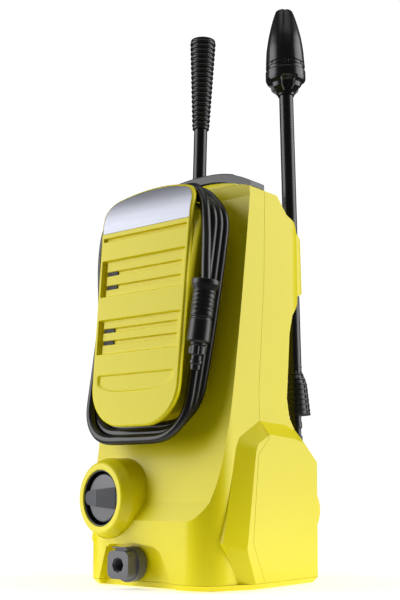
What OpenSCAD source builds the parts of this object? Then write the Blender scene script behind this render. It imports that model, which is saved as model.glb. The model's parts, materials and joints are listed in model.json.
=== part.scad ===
// Compact electric pressure washer: a two-part housing on a base tray, a hose
// store behind a front panel, two stowed lances, and a vertical motor on a pump.
// X is the width, the front faces -Y, Z is up, the feet stand on z = 0.

/* [Housing] */
// Height of the housing, without the handle
body_h = 414; // [360:1:500]
// Width of the upper housing
body_w = 177; // [150:1:215]
// Width across the side panels of the lower bulge
base_w = 200; // [176:1:242]
// Depth of the housing, from the front belt to the back
body_d = 176; // [150:1:215]
// Wall thickness of the moulded shells
wall = 2.6; // [2:0.1:3.4]
// Height of the front belt under the hose store
belt_h = 66; // [56:1:79]
// Depth of the hose store at the top of the housing
recess_d = 64; // [54:1:72]

/* [Hose store] */
// Width of the front panel
panel_w = 127; // [106:1:140]
// Height of the front panel
panel_h = 256; // [215:1:270]
// Thickness of the front panel
panel_t = 8; // [6:0.5:9.5]
// Outer diameter of the high-pressure hose
hose_d = 9.6; // [8:0.1:11]

/* [Controls] */
// Radius of the switch collar at its front
collar_r = 35.5; // [32:0.5:42]
// Radius of the round switch knob
knob_r = 24.5; // [20.5:0.5:26]
// Radius of the hose socket in the outlet
outlet_r = 6.2; // [5.2:0.1:7.4]
// Crest radius of the water inlet thread
inlet_r = 13.2; // [11:0.1:15.8]
// How far the carry handle pulls up
handle_travel = 42; // [20:1:50]

/* [Lances] */
// Radius of the lance tubes
lance_r = 8.2; // [6.9:0.1:9.8]
// Largest radius of the rotary nozzle head
head_r = 23.2; // [19.5:0.1:27]
// Length of a stowed lance
lance_l = 523; // [440:1:625]

/* [Motor and pump] */
// Radius of the motor frame
motor_r = 42; // [35:0.5:50]
// Length of the motor
motor_l = 118; // [100:1:140]
// Radius of the pump pistons
piston_r = 5; // [4.2:0.1:6]

/* [Hidden] */
$fn = 48;
yellow = "#e6dc2c";
black = "#161616";
grey = "#6f7078";

// Clearances
run_gap = 0.08;   // radial gap of a turning or sliding fit
seat_gap = 0.3;   // gap between a piece and the seat that carries it
seam_gap = 0.5;   // gap between the two housing shells
free_gap = 1.2;   // gap round a piece that moves past another

// Housing places
half_w = body_w / 2;
base_half = base_w / 2;
front_y = -83;
back_y = front_y + body_d;
foot_h = 1.5;
tray_h = 7;
corner_r = 34;
panel_top = body_h + 1;
panel_z = panel_top - panel_h;
shoulder_y = back_y - 19;
shoulder_z = body_h - 110;
bulge_h = 165;
crown = 10;
trim_depth = 16;
spine_half = motor_r + wall + 1.6;

// Hose store places
lean = 0.066;
hose_r = hose_d / 2;
hub_top = panel_top - 21;
hub_bottom = panel_z + 14;

// Lance places
lance_y = shoulder_y + lance_r + 0.8;
lance_z = 128;
spray_lean = 1.9;
rotor_lean = 0.87;
spray_x = 9.5 - half_w;
rotor_x = half_w - 13.2;
socket_z = 118;

// Switch and outlet places
knob_x = -50;
knob_z = 88;
knob_turn = 8;
collar_y = front_y - 10.7;
collar_back_r = collar_r + 5;
collar_depth = 45;
liner_r = knob_r + 4;
spindle_r = 5;
outlet_x = -16;
outlet_z = 23.5;
outlet_half = 14;
pocket_deep = 9;

// Motor and pump places
motor_x = 0;
motor_y = 18;
shaft_r = 5;
pump_z = 16;
pump_h = 42;
case_h = 40;
case_z = pump_z + pump_h;
motor_z = case_z + case_h;
rotor_r = 24.5;
stator_in = rotor_r + 0.7;
piston_pcd = 19;
fan_z = motor_z + motor_l + 6;

// ---------- shared shapes ----------

function unit(v) = v / norm(v);
function mix(a, b, t) = a + (b - a) * t;

// Rounds each corner of a polygon with an arc of n steps; r is one radius per corner.
function rounded(p, r, n = 6) = [for (i = [0:len(p) - 1])
    let (a = p[(i + len(p) - 1) % len(p)], b = p[i], c = p[(i + 1) % len(p)],
        u = unit(a - b), v = unit(c - b), half = acos(u * v) / 2,
        cut = r[i] / tan(half), mid = b + unit(u + v) * r[i] / sin(half),
        s = b + u * cut - mid, e = b + v * cut - mid, sweep = 180 - 2 * half)
    each r[i] <= 0 ? [b] : [for (k = [0:n]) mid
        + s * sin(sweep * (1 - k / n)) / sin(sweep) + e * sin(sweep * k / n) / sin(sweep)]];

module rounded_rect(x0, x1, y0, y1, r) {
    translate([x0, y0 + r]) square([x1 - x0, y1 - y0 - 2 * r]);
    translate([x0 + r, y0]) square([x1 - x0 - 2 * r, y1 - y0]);
    for (x = [x0 + r, x1 - r], y = [y0 + r, y1 - r]) translate([x, y]) circle(r, $fn = 64);
}

// Extrudes a (y, z) outline along X, from -half to +half.
module across(half) {
    translate([-half, 0, 0]) rotate([90, 0, 90]) linear_extrude(2 * half) children();
}

module ring(r_out, r_in, h) {
    difference() {
        cylinder(r = r_out, h = h);
        translate([0, 0, -1]) cylinder(r = r_in, h = h + 2);
    }
}

// A round tube swept along a list of points; the section stays square to the path.
function tangent(p, i) = unit(p[min(i + 1, len(p) - 1)] - p[max(i - 1, 0)]);
function hoop(c, t, ref, r, n) = let (a = unit(cross(ref, t)), b = cross(t, a))
    [for (k = [0:n - 1]) c + r * (cos(360 * k / n) * a + sin(360 * k / n) * b)];
module swept_tube(p, r, n = 8, ref = [0, 1, 0]) {
    last = len(p) - 1;
    points = [for (i = [0:last]) each hoop(p[i], tangent(p, i), ref, r, n)];
    sides = [for (i = [0:last - 1], k = [0:n - 1])
        [i * n + k, (i + 1) * n + k, (i + 1) * n + (k + 1) % n, i * n + (k + 1) % n]];
    ends = [[for (k = [0:n - 1]) k], [for (k = [n - 1:-1:0]) last * n + k]];
    polyhedron(points, concat(sides, ends), convexity = 6);
}

// ---------- housing ----------

// How far the wall of the hose store lies behind the belt at height z.
function store_depth(z) = recess_d * pow(max(0, (z - belt_h) / (body_h - 20 - belt_h)), 0.66);

module side_outline(i) {
    steps = 18;
    store = [for (k = [0:steps]) let (z = mix(belt_h, body_h - 14, k / steps))
        [front_y + store_depth(z) + i, z]];
    polygon(concat(
        [[front_y + i, i]], store,
        [[front_y + recess_d + i, body_h - i],
        [back_y - 71, body_h - i], [back_y - 62 - i / 2, body_h - 4 - i],
        [back_y - 44 - i / 2, body_h - 22 - i], [back_y - 29 - i, body_h - 27 - i],
        [shoulder_y - 2 - i, body_h - 36 - i], [shoulder_y - i, body_h - 44],
        [shoulder_y - i, shoulder_z], [shoulder_y - 3 - i, shoulder_z - 7 + i],
        [shoulder_y - 17 - i, shoulder_z - 22 + i], [shoulder_y - 23 - i, shoulder_z - 42],
        [shoulder_y - 30 - i, bulge_h + 26], [shoulder_y - 26 - i, bulge_h + 6],
        [shoulder_y - 17 - i, bulge_h - 6 - i], [back_y - 30, bulge_h - 20], [back_y - 30, i]]));
}

// Height of the crowned top at x: highest in the middle, and lower at the sides.
function top_z(x) = body_h + crown - 1.4 * crown * pow(abs(x) / half_w, 2.2);

module upper_body(i) {
    intersection() {
        linear_extrude(body_h)
            rounded_rect(-half_w + i, half_w - i, front_y + i, back_y - 2, corner_r - i);
        across(half_w) side_outline(i);
        facing(-200, 200) polygon(concat([[-half_w - 1, 0]],
            [for (k = [-14:14]) let (x = k / 14 * half_w) [x * (1 + 1 / half_w), min(body_h, top_z(x)) - i]],
            [[half_w + 1, 0]]));
    }
}

// A crowned trim stands on the front edge of the top and hides the finger space behind it.
module top_trim() {
    half = half_w - 18;
    face = front_y + recess_d;
    color(yellow) intersection() {
        across(half) polygon([[face, body_h], [face, body_h + crown - 9], [face + 1, body_h + crown - 5],
            [face + 4, body_h + crown - 1.5], [face + 8, body_h + crown], [face + trim_depth, body_h + crown],
            [face + trim_depth, body_h]]);
        facing(-200, 200) polygon(concat([[-half - 1, 0]],
            [for (k = [-12:12]) let (x = k / 12 * half) [x * (1 + 1 / half), top_z(x)]], [[half + 1, 0]]));
    }
}

// The lower bulge widens from the upper housing in flat facets.
module bulge(i) {
    skew = 1.6 * i;
    inner = [[-39 + skew, i], [-66 + skew, 46], [-45 + skew, 137], [-40 + skew, 147 - i], [-6,
        bulge_h - skew],
        [38, bulge_h - 2 - skew], [back_y - 36, bulge_h - 6 - skew], [back_y - skew, 126],
            [back_y - skew, i]];
    outer = [[-27 + i, i], [-43 + i, 39], [-27 + i, 134], [-23 + i, 141 - i], [-3, 151 - i], [42, 148 - i],
        [59, 144 - i], [back_y - 11 - i, 125 - i], [back_y - 14 - i, i]];
    hull() {
        across(half_w) polygon(inner);
        across(base_half - i) polygon(outer);
    }
}

module spine(i) {
    translate([0, 0, i]) linear_extrude(body_h - 22 - 2 * i)
        rounded_rect(-spine_half + i, spine_half - i, 0, back_y - 6 - i, 12);
}

module body_form(i) {
    upper_body(i);
    bulge(i);
    spine(i);
}

// The line, seen from the side, where the two shells meet.
module seam_side(front) {
    far = front ? -400 : 400;
    off = front ? -seam_gap / 2 : seam_gap / 2;
    line = [[back_y - 83.5, body_h + 29], [back_y - 88, body_h - 102], [back_y - 99, bulge_h + 31],
        [back_y - 98, 147], [back_y - 116, 131], [back_y - 126, 45], [back_y - 108, 8], [back_y - 108, -9]];
    across(base_half + 50) polygon(concat([for (p = line) p + [off, 0]], [[far, -9], [far, body_h + 29]]));
}

module shell_skin() {
    difference() {
        intersection() {
            body_form(0);
            translate([-300, -300, tray_h]) cube([600, 600, 600]);
        }
        intersection() {
            body_form(wall);
            translate([-300, -300, -1]) cube([600, 600, body_h + 1]);
        }
    }
}

module at_knob() {
    translate([knob_x, collar_y, knob_z]) rotate([90, 0, -knob_turn]) children();
}

module outlet_recess(deep, grow) {
    translate([0, front_y + deep, 0]) rotate([90, 0, 0]) linear_extrude(60)
        polygon([[-62 - grow, -1], [-50 - grow, 39], [-45, 42 + grow], [-10, 44 + grow], [15, 41 + grow],
            [23 + grow, 36], [42 + grow, -1]]);
}

// Behind each shoulder an ear wraps round the lance and holds it upright.
ear_r = lance_r + 2.6;
module lance_ears() {
    for (x = [spray_x, rotor_x]) intersection() {
        lance_place(x) translate([0, 0, shoulder_z - 20]) {
            cylinder(r = ear_r, h = 120);
            translate([-ear_r, -20, 0]) cube([2 * ear_r, 20, 120]);
        }
        across(base_half) polygon([[shoulder_y - 14, shoulder_z - 9], [shoulder_y - 1, shoulder_z],
            [lance_y + ear_r + 1, shoulder_z + 10], [lance_y + ear_r + 1, body_h - 46],
            [lance_y - 6, body_h - 34], [shoulder_y - 8, body_h - 36], [shoulder_y - 14, body_h - 36]]);
    }
}

module lance_place(x) {
    translate([x, lance_y, 0]) rotate([0, x > 0 ? -rotor_lean : spray_lean, 0]) children();
}

module front_shell() {
    color(yellow) difference() {
        union() {
            intersection() {
                shell_skin();
                seam_side(true);
            }
            // the pocket wall behind the outlet
            intersection() {
                difference() {
                    outlet_recess(pocket_deep + wall, wall);
                    outlet_recess(pocket_deep, 0);
                }
                translate([-200, front_y + 1, tray_h]) cube([400, 40, 60]);
                body_form(0);
            }
        }
        outlet_recess(pocket_deep, 0);
        at_knob() translate([0, 0, -collar_depth - 5]) cylinder(r = collar_back_r + 0.2, h = 60);
        translate([outlet_x, 0, outlet_z]) rotate([90, 0, 0]) cylinder(r = 12.2, h = 120);
        for (x = [-40, 40]) translate([x, 0, hub_top - 30]) rotate([90, 0, 0]) cylinder(r = 2.2, h = 60);
    }
}

module rear_shell() {
    color(yellow) difference() {
        union() {
            intersection() {
                shell_skin();
                seam_side(false);
            }
            translate([inlet_x, back_y - 16.6, inlet_z]) rotate([-90, 0, 0])
                cylinder(r = inlet_r + 9.8, h = 15);
            lance_ears();
        }
        for (x = [spray_x, rotor_x]) lance_place(x)
            translate([0, 0, shoulder_z - 30]) cylinder(r = lance_r + 1.15, h = 130);
        translate([inlet_x, back_y - 30, inlet_z]) rotate([-90, 0, 0]) cylinder(r = 8.4, h = 40);
        for (x = [-1, 1]) translate([x * leg_x - leg_w / 2 - free_gap, leg_y - leg_d / 2 - free_gap,
            body_h - 60])
            cube([leg_w + 2 * free_gap, leg_d + 2 * free_gap, 80]);
        for (x = [spray_x, rotor_x]) lance_place(x)
            translate([0, 0, socket_z - 4.3]) cylinder(r = lance_r + 6.1, h = 46);
        translate([inlet_x, back_y - 14, inlet_z]) rotate([-90, 0, 0]) cylinder(r = inlet_r + 8, h = 40);
        translate([gland_x, back_y - 20, gland_z]) rotate([-90, 0, 0]) cylinder(r = 7.1, h = 40);
        // cooling slots low on the back
        for (k = [0:5]) translate([-30, back_y - 8, 92 + 8 * k]) cube([60, 20, 3.5]);
        for (p = screw_points) translate([p[0], back_y - 20, p[1]]) 
            rotate([-90, 0, 0]) cylinder(r = 2.3, h = 40);
    }
}

// Screws through the back: x, z and how far the wall there lies in front of the back face.
screw_points = [for (x = [-34, 34], p = [[30, 0], [200, 6], [340, 6]]) [x, p[0], p[1]]];

module tray_outline() {
    rounded_rect(-half_w, half_w, front_y, back_y - 4, corner_r);
    polygon([[-half_w, -39], [-base_half, -27], [-base_half, back_y - 14], [-half_w, back_y],
        [half_w, back_y], [base_half, back_y - 14], [base_half, -27], [half_w, -39]]);
}

module base_tray() {
    bevel = 4;
    color(yellow) difference() {
        hull() {
            translate([0, 0, tray_h - 0.6]) linear_extrude(0.4) tray_outline();
            translate([0, 0, foot_h]) linear_extrude(0.2)
                scale([1 - bevel / base_half, 1 - 2 * bevel / body_d]) tray_outline();
        }
        difference() {
            translate([0, 0, foot_h + 2.4]) linear_extrude(40)
                scale([1 - 2.2 * bevel / base_half, 1 - 4.4 * bevel / body_d]) tray_outline();
            outlet_recess(pocket_deep + wall, wall);
        }
        outlet_recess(pocket_deep, 0);
        for (p = foot_points) translate([p[0], p[1], -1]) cylinder(r = foot_r + 0.1, h = 2.6 + foot_h);
    }
    color(yellow) for (p = foot_points) translate([p[0], p[1], foot_h + 1.7]) ring(foot_r + 3, 2.4, 5);
}

foot_r = 8;
foot_points = [for (x = [-62, 62], y = [-52, back_y - 34]) [x, y]];

module rubber_feet() {
    color(black) for (p = foot_points) translate([p[0], p[1], 0]) cylinder(r = foot_r, h = foot_h + 1.6);
}

// ---------- hose store and panel ----------

// y of the panel's front face at height z; its top leans further back.
function panel_y(z) = -97.5 + lean * (z - panel_z)
    + (z > panel_top - 42 ? 0.0085 * pow(z - panel_top + 42, 2) : 0);

module panel_slab(front, back, z0, z1) {
    steps = 12;
    zs = concat([z0], [for (k = [0:steps]) mix(max(z0, panel_top - 44), z1, k / steps)]);
    across(200) polygon(concat([for (z = zs) [panel_y(z) + front, z]],
        [for (k = [len(zs) - 1:-1:0]) [panel_y(zs[k]) + back, zs[k]]]));
}

module panel_face(i) {
    h = panel_w / 2 - i;
    polygon(rounded([[-h, panel_z + i], [h - panel_taper, panel_z + i], [h, panel_top - 12 - i],
        [0, panel_top + 5 - i],
        [-h, panel_top - 12 - i]], [42 - i, 42 - i, 22 - i, 160, 22 - i], 8));
}

module facing(y0, y1) {
    translate([0, y1, 0]) rotate([90, 0, 0]) linear_extrude(y1 - y0) children();
}

band_rows = [[panel_top - 78, panel_top - 56], [panel_top - 143, panel_top - 117],
    [panel_top - 202, panel_top - 179]];
slot_rows = [panel_top - 92, panel_top - 107, panel_top - 154, panel_top - 167];
panel_taper = 9;   // how much narrower the panel is at the bottom, on its right
field_half = panel_w / 2 - 4.5;
field_deep = 5;
slot_left = -panel_w / 2 + 9;

module hose_panel() {
    color(yellow) difference() {
        intersection() {
            union() {
                intersection() {
                    facing(-140, 0) panel_face(0);
                    panel_slab(0, 3.2, panel_z - 1, panel_top + 6);
                }
                intersection() {
                    facing(-140, 0) panel_face(2.4);
                    panel_slab(3, panel_t, panel_z - 1, panel_top + 6);
                }
            }
        }
        // the sunk field, with its raised bands left standing
        difference() {
            intersection() {
                facing(-140, 0) intersection() {
                    panel_face(4.5);
                    translate([-field_half, band_rows[2][0]])
                        square([2 * field_half, panel_top - 52 - band_rows[2][0]]);
                }
                panel_slab(-2, field_deep, panel_z - 1, panel_top);
            }
            for (b = band_rows) facing(-140, 0) translate([-panel_w / 2, b[0]]) square([panel_w, b[1] - b[0]]);
        }
        // the shallow scoop under the lowest band
        intersection() {
            facing(-140, 0) polygon(rounded([[-field_half + 9, panel_top - 220],
                [field_half - 17, panel_top - 220], [field_half - 10, band_rows[2][0]],
                [-field_half + 2, band_rows[2][0]]], [18, 18, 0, 0]));
            panel_slab(-2, 1.8, panel_z - 1, panel_top);
        }
        // seat of the badge
        intersection() {
            facing(-140, 0) badge_face(-0.2);
            panel_slab(-2, 1.2, panel_z, panel_top + 6);
        }
        for (z = slot_rows) {
            intersection() {
                facing(-140, 0) slot_shape(z, slot_left, panel_w / 2 - 13);
                panel_slab(-2, field_deep + 1.8, panel_z, panel_top);
            }
            facing(-140, 0) slot_shape(z, slot_left, slot_left + 16);
        }
    }
}

module slot_shape(z, x0, x1) {
    r = 2.6;
    translate([x0 + r, z - r]) square([x1 - x0 - 2 * r, 2 * r]);
    for (x = [x0 + r, x1 - r]) translate([x, z]) circle(r);
}

module badge_face(i) {
    intersection() {
        panel_face(2.2 + i);
        translate([-100, panel_top - 47 + i]) square([200, 100]);
    }
}

module badge_plate() {
    color("#c9cbd6") intersection() {
        facing(-140, 0) badge_face(0);
        panel_slab(0.2, 1.2, panel_z, panel_top + 6);
    }
}

module hub_face(i) {
    top = panel_w / 2 + 2 - i;
    low = top - 24;
    polygon(rounded([[-low, hub_bottom + i], [low, hub_bottom + i], [top, hub_top - i], 
        [-top, hub_top - i]],
        [24, 24, 28 - i, 28 - i], 8));
}

module hose_hub() {
    color(yellow) difference() {
        intersection() {
            facing(-140, 20) hub_face(0);
            panel_slab(panel_t + 0.05, 140, hub_bottom - 1, hub_top + 1);
            translate([0, -seat_gap, 0]) across(200) polygon(concat([[-200, 0]], [for (k = [0:14])
                let (z = mix(hub_bottom - 4, hub_top + 4, k / 14)) [front_y + store_depth(z), z]],
                [[-200, hub_top + 4]]));
        }
        intersection() {
            facing(-140, 20) hub_face(wall);
            panel_slab(panel_t - 5, 140, hub_bottom - 1, hub_top + 1);
            translate([0, -seat_gap - wall, 0]) across(200) polygon(concat([[-200, 0]], [for (k = [0:14])
                let (z = mix(hub_bottom - 4, hub_top + 4, k / 14)) [front_y + store_depth(z), z]],
                [[-200, hub_top + 4]]));
        }
        for (x = [-40, 40]) translate([x, 0, hub_top - 30]) rotate([90, 0, 0]) cylinder(r = 2.2, h = 60);
    }
}

module panel_screws() {
    color("silver") for (x = [-40, 40]) translate([x, front_y + store_depth(hub_top - 30), hub_top - 30])
        rotate([90, 0, 0]) {
            translate([0, 0, -8]) cylinder(r = 2, h = 12);
            translate([0, 0, 3.4]) cylinder(r = 4, h = 2.4);
        }
}

// The winding: a rounded-corner loop round the hub, narrower and shifted at the bottom.
coil_top = hub_top + hose_r + 1.6;
coil_half = 70;
coil_corner = 36;
turns = 3;
function coil_low(k) = panel_z - 13 + (turns - k) * 7;
function loop_point(d, k) =
    let (r = coil_corner, h = coil_half - r, low = coil_low(k), v = coil_top - low - 2 * r,
        q = PI * r / 2, total = 4 * h + 2 * v + 4 * q, s = d * total,
        a1 = h, a2 = a1 + q, a3 = a2 + v, a4 = a3 + q, a5 = a4 + 2 * h, a6 = a5 + q, a7 = a6 + v,
            a8 = a7 + q)
    s < a1 ? [s, coil_top]
    : s < a2 ? [h + r * sin((s - a1) / r * 180 / PI), coil_top - r + r * cos((s - a1) / r * 180 / PI)]
    : s < a3 ? [h + r, coil_top - r - (s - a2)]
    : s < a4 ? [h + r * cos((s - a3) / r * 180 / PI), low + r - r * sin((s - a3) / r * 180 / PI)]
    : s < a5 ? [h - (s - a4), low]
    : s < a6 ? [-h - r * sin((s - a5) / r * 180 / PI), low + r - r * cos((s - a5) / r * 180 / PI)]
    : s < a7 ? [-h - r, low + r + (s - a6)]
    : s < a8 ? [-h - r * cos((s - a7) / r * 180 / PI), coil_top - r + r * sin((s - a7) / r * 180 / PI)]
    : [-h + (s - a8), coil_top];
function coil_point(d, k) =
    let (p = loop_point(d, k), s = (coil_top - p[1]) / (coil_top - coil_low(turns)),
        x = mix(0, -13.5, s) + p[0] * mix(74, 67.5, s) / coil_half,
        w = mix(panel_t + 18 + (hose_d + 0.2) * (turns - k), panel_t + 6 + 7 * (turns - k), s * s))
    [x, panel_y(min(p[1], panel_top - 42)) + w, p[1]];

module hose_coil() {
    n = 48;
    half = 5;
    r = hose_r + 0.1;
    points = [for (i = [0:n - 1])
        let (front = coil_point(i / n, turns), rear = coil_point(i / n, 1),
            t = unit(coil_point((i + 1) / n % 1, 2) - coil_point((i + n - 1) / n % 1, 2)),
            across_stack = unit(front - rear), s = unit(across_stack - t * (across_stack * t)),
                m = cross(t, s))
        each concat([for (j = [0:half - 1]) let (f = -90 + 180 * j / (half - 1)) front + r * (cos(f) *
            s + sin(f) * m)],
            [for (j = [0:half - 1]) let (f = 90 + 180 * j / (half - 1)) rear + r * (cos(f) * s + sin(f)
                * m)])];
    m = 2 * half;
    color(black) polyhedron(points, [for (i = [0:n - 1], k = [0:m - 1])
        [i * m + k, (i + 1) % n * m + k, (i + 1) % n * m + (k + 1) % m, i * m + (k + 1) % m]],
            convexity = 8);
}

// The free end leaves the winding at the top and hangs down to its coupling.
over = hose_d - 9.6;
tail_shape = [[-56, -58, 4.6], [-46, -57.5, 8.6], [-32, -56, 10.2], [-16, -53.5, 9.4], [0, -52.5, 9],
    [16, -52.5, 9], [32, -54, 9.4], [46, -58.5, 7.6], [57, -62.5, 1.6], [65, -66, -8.4], [70, -69, -22.4],
    [73, -72, -38.4], [77, -76, -56], [81, -82, -78], [84, -86, -101.4]];
tail_route = [for (p = tail_shape) p + [p[0] > 50 ? over : 0, p[0] > 50 ? -over : 0,
    coil_top + (p[2] > 0 ? over : 0)]];
lead_y = -38;
lead_shape = [[-4, 13.6], [10, 13.6], [24, 12.1], [37, 9.1], [48, 4.6]];
lead_route = [for (p = lead_shape) [p[0], lead_y, coil_top + p[1] + over]];

module hose_tail() {
    color(black) swept_tube(tail_route, hose_r, 10);
    color(black) swept_tube(lead_route, hose_r, 10);
}

coupling_top = tail_route[len(tail_route) - 1];
coupling_end = coupling_top + [-10.5, -4, -87];
module at_coupling() {
    v = coupling_end - coupling_top;
    translate(coupling_top) rotate([0, acos(v[2] / norm(v)), atan2(v[1], v[0])]) children();
}

module hose_coupling() {
    color(black) at_coupling() rotate_extrude($fn = 64) polygon([[0, 0], [14, 0], [14.2, 7], [12, 11],
        [12.2, 36], [10.4, 47], [11.2, 48], [11.2, 62], [8.2, 64], [8.2, 75], [5.2, 76], [5.2, 79], 
        [6, 79.5],
        [6, 83], [5.2, 83.5], [5.2, 90], [0, 90]]);
}

// The gun end rests on the winding, behind the top of the panel.
module hose_gun_end() {
    color(black) translate(lead_route[0] - [46, 0, 0]) rotate([0, 90, 0]) rotate_extrude()
        polygon([[0, 0], [5, 0], [5, 10], [8, 11], [8, 40], [6, 46], [0, 46]]);
}

// ---------- switch ----------

module switch_collar() {
    sleeve = liner_r + 2.6;
    color(yellow) at_knob() difference() {
        rotate_extrude($fn = 96) polygon([[sleeve - 4, -26], [sleeve, -26], [sleeve, -9],
            [collar_back_r - 2.6, -13],
            [collar_back_r - 2.6, -collar_depth], [collar_back_r, -collar_depth], [collar_back_r, -11],
            [collar_r + 3.6, -8], [collar_r + 0.6, -1.4], [collar_r - 1, 0], [liner_r - 1, 0]]);
        translate([0, 0, -24]) cylinder(r = liner_r + 0.05, h = 30, $fn = 96);
        translate([0, 0, -30]) cylinder(r = sleeve - 6, h = 10);
    }
}

module switch_liner() {
    color(black) at_knob() translate([0, 0, -24]) difference() {
        cylinder(r = liner_r - 0.05, h = 22.5, $fn = 96);
        translate([0, 0, 1.6]) cylinder(r = liner_r - 1.4, h = 30, $fn = 96);
        translate([0, 0, -1]) cylinder(r = spindle_r + run_gap, h = 10);
    }
}

module switch_knob() {
    bar = 9.5;
    color(grey) at_knob() difference() {
        union() {
            translate([0, 0, -12]) cylinder(r = knob_r, h = 8, $fn = 96);
            intersection() {
                translate([0, 0, -12]) cylinder(r = knob_r, h = 18, $fn = 96);
                rotate([90, 0, 90]) translate([0, 0, -40]) linear_extrude(80)
                    polygon([[-bar - 2, -6], [bar + 2, -6], [bar, 5], [-bar, 5]]);
            }
        }
        translate([0, 0, -13]) cylinder(r = spindle_r + 0.02, h = 6.5);
    }
}

module switch_spindle() {
    color(black) at_knob() translate([0, 0, -40]) difference() {
        cylinder(r = spindle_r, h = 33);
        translate([spindle_r - 1, -10, -1]) cube([10, 20, 9]);
    }
}

module switch_box() {
    color("#3a3a3e") at_knob() translate([0, 0, -52]) difference() {
        translate([-17, -17, 0]) cube([34, 34, 25.7]);
        translate([0, 0, 11.5]) cylinder(r = spindle_r + run_gap, h = 30);
    }
}

// ---------- outlet and inlet ----------

outlet_face = front_y - 18;

module at_outlet() {
    translate([outlet_x, outlet_face, outlet_z]) rotate([90, 0, 0]) children();
}

module outlet_body() {
    color(grey) at_outlet() difference() {
        union() {
            translate([0, 0, -23.8]) linear_extrude(23.8)
                rounded_rect(-outlet_half, outlet_half, -outlet_half + 0.5, outlet_half - 0.5, 7);
            translate([0, 0, -23.8]) cylinder(r = 17.2, h = 11);
            translate([0, 0, -62]) cylinder(r = 12, h = 40);
        }
        translate([0, 0, -2]) cylinder(r = outlet_r + 1.4, h = 3, $fn = 8);
        translate([0, 0, -34]) cylinder(r = outlet_r, h = 40);
        translate([0, 0, -30]) cylinder(r = outlet_r + 2.2, h = 3.2);
        translate([0, 0, -70]) cylinder(r = 4, h = 60);
        // slot of the release clip
        translate([-8.2, 10.4, -9.7]) cube([16.4, 10, 5.4]);
    }
}

module outlet_clip() {
    color(grey) at_outlet() {
        translate([-8, 12.8, -9.5]) cube([16, 3.6, 5]);
        translate([-9.5, 15.8, -9.5]) cube([19, 1.4, 8]);
    }
}

module outlet_seal() {
    color(black) at_outlet() translate([0, 0, -29.8]) ring(outlet_r + 2.15, outlet_r + 0.2, 2.8);
}

inlet_x = -30;
inlet_z = 62;
gland_x = 40;
gland_z = 60;

module inlet_spigot() {
    color(black) translate([inlet_x, back_y - 13.9, inlet_z]) rotate([-90, 0, 0]) difference() {
        union() {
            cylinder(r = inlet_r + 4, h = 3);
            cylinder(r = inlet_r, h = 19, $fn = 64);
            translate([0, 0, -16]) cylinder(r = 8.3, h = 17);
        }
        translate([0, 0, 3]) cylinder(r = inlet_r - 3.2, h = 30);
        translate([0, 0, -20]) cylinder(r = 5, h = 40);
    }
}

module inlet_filter() {
    color("#d8cf3a") translate([inlet_x, back_y - 10.8, inlet_z]) rotate([-90, 0, 0]) {
        difference() {
            cylinder(r = inlet_r - 3.4, h = 2);
            translate([0, 0, -1]) cylinder(r = 4, h = 9);
        }
        translate([0, 0, 2]) difference() {
            cylinder(r = 6.5, h = 11);
            translate([0, 0, -1]) cylinder(r = 5.2, h = 11);
        }
    }
}

module cable_gland() {
    color(black) translate([gland_x, back_y, gland_z]) rotate([-90, 0, 0]) {
        difference() {
            union() {
                translate([0, 0, -8]) cylinder(r = 7, h = 8.2);
                translate([0, 0, 0.2]) cylinder(r = 9.5, h = 2.4);
                translate([0, 0, 2.6]) cylinder(r1 = 7, r2 = 5, h = 9, $fn = 48);
            }
            translate([0, 0, -20]) cylinder(r = 3.6, h = 60);
        }
    }
}

module cable_cleat() {
    color(yellow) intersection() {
        translate([76, back_y - 9, 75]) rotate([0, 90, 0]) {
            cylinder(r = 24, h = 11, $fn = 96);
            translate([0, 0, -18]) cylinder(r = 16, h = 19, $fn = 64);
        }
        translate([0, back_y + 0.1, 0]) cube([86, 60, 200]);
    }
}

// ---------- lances ----------

clip_z = shoulder_z + 10;

module lance_clips() {
    color(black) for (x = [spray_x, rotor_x]) lance_place(x) translate([0, 0, clip_z])
        ring(lance_r + 1.1, lance_r + 0.35, 40);
}

module lance_sockets() {
    color(black) for (x = [spray_x, rotor_x]) lance_place(x) translate([0, 0, socket_z - 4]) difference() {
        cylinder(r = lance_r + 5.8, h = 16);
        translate([0, 0, lance_z - socket_z + 3.7]) cylinder(r = lance_r + 2.6, h = 30);
    }
}

grip_z = lance_z + 48;
tube_top_spray = lance_z + lance_l - 117;
tube_top_rotor = lance_z + lance_l - 106;

module lance_tube(top) {
    difference() {
        translate([0, 0, grip_z + 4]) cylinder(r = lance_r, h = top - grip_z + 8);
        translate([0, 0, grip_z]) cylinder(r = lance_r - 2.2, h = top - grip_z + 20);
    }
}

// The plug-in end: a ribbed grip sleeve, then a nose with a seal and two bayonet lugs.
grip_swell = 8.4;
module lance_grip() {
    rows = 9;
    row = 5.6;
    difference() {
        rotate_extrude() polygon(concat([[0, lance_z + 14], [5.5, lance_z + 14], [5.5, lance_z + 20],
            [7, lance_z + 20],
            [7, lance_z + 26], [5.8, lance_z + 26], [5.8, lance_z + 34], [7, lance_z + 35], [7, grip_z],
            [lance_r + grip_swell, grip_z]],
            [for (k = [1:rows]) let (z = grip_z + k * row,
                r = lance_r + grip_swell - 0.5 * k - (k > 6 ? (k - 6) * 1.1 : 0))
                each [[r, z - 1.8], [r - 0.7, z - 1.5], [r - 0.7, z - 0.4], [r - 0.2, z]]],
            [[lance_r + 0.2, grip_z + rows * row + 4], [0, grip_z + rows * row + 4]]));
        translate([0, 0, grip_z + 4]) cylinder(r = lance_r + 0.05, h = 100);
        translate([0, 0, lance_z - 1]) cylinder(r = 2.5, h = 80);
    }
    difference() {
        union() {
            translate([0, 0, lance_z]) cylinder(r = 6, h = 14.2);
            translate([-10.5, -3, lance_z + 7]) cube([21, 6, 6]);
        }
        translate([0, 0, lance_z - 1]) cylinder(r = 2.5, h = 80);
    }
}

module spray_lance_tube() {
    color(black) lance_place(spray_x) lance_tube(tube_top_spray);
}

module spray_lance_grip() {
    color(black) lance_place(spray_x) lance_grip();
}

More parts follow.
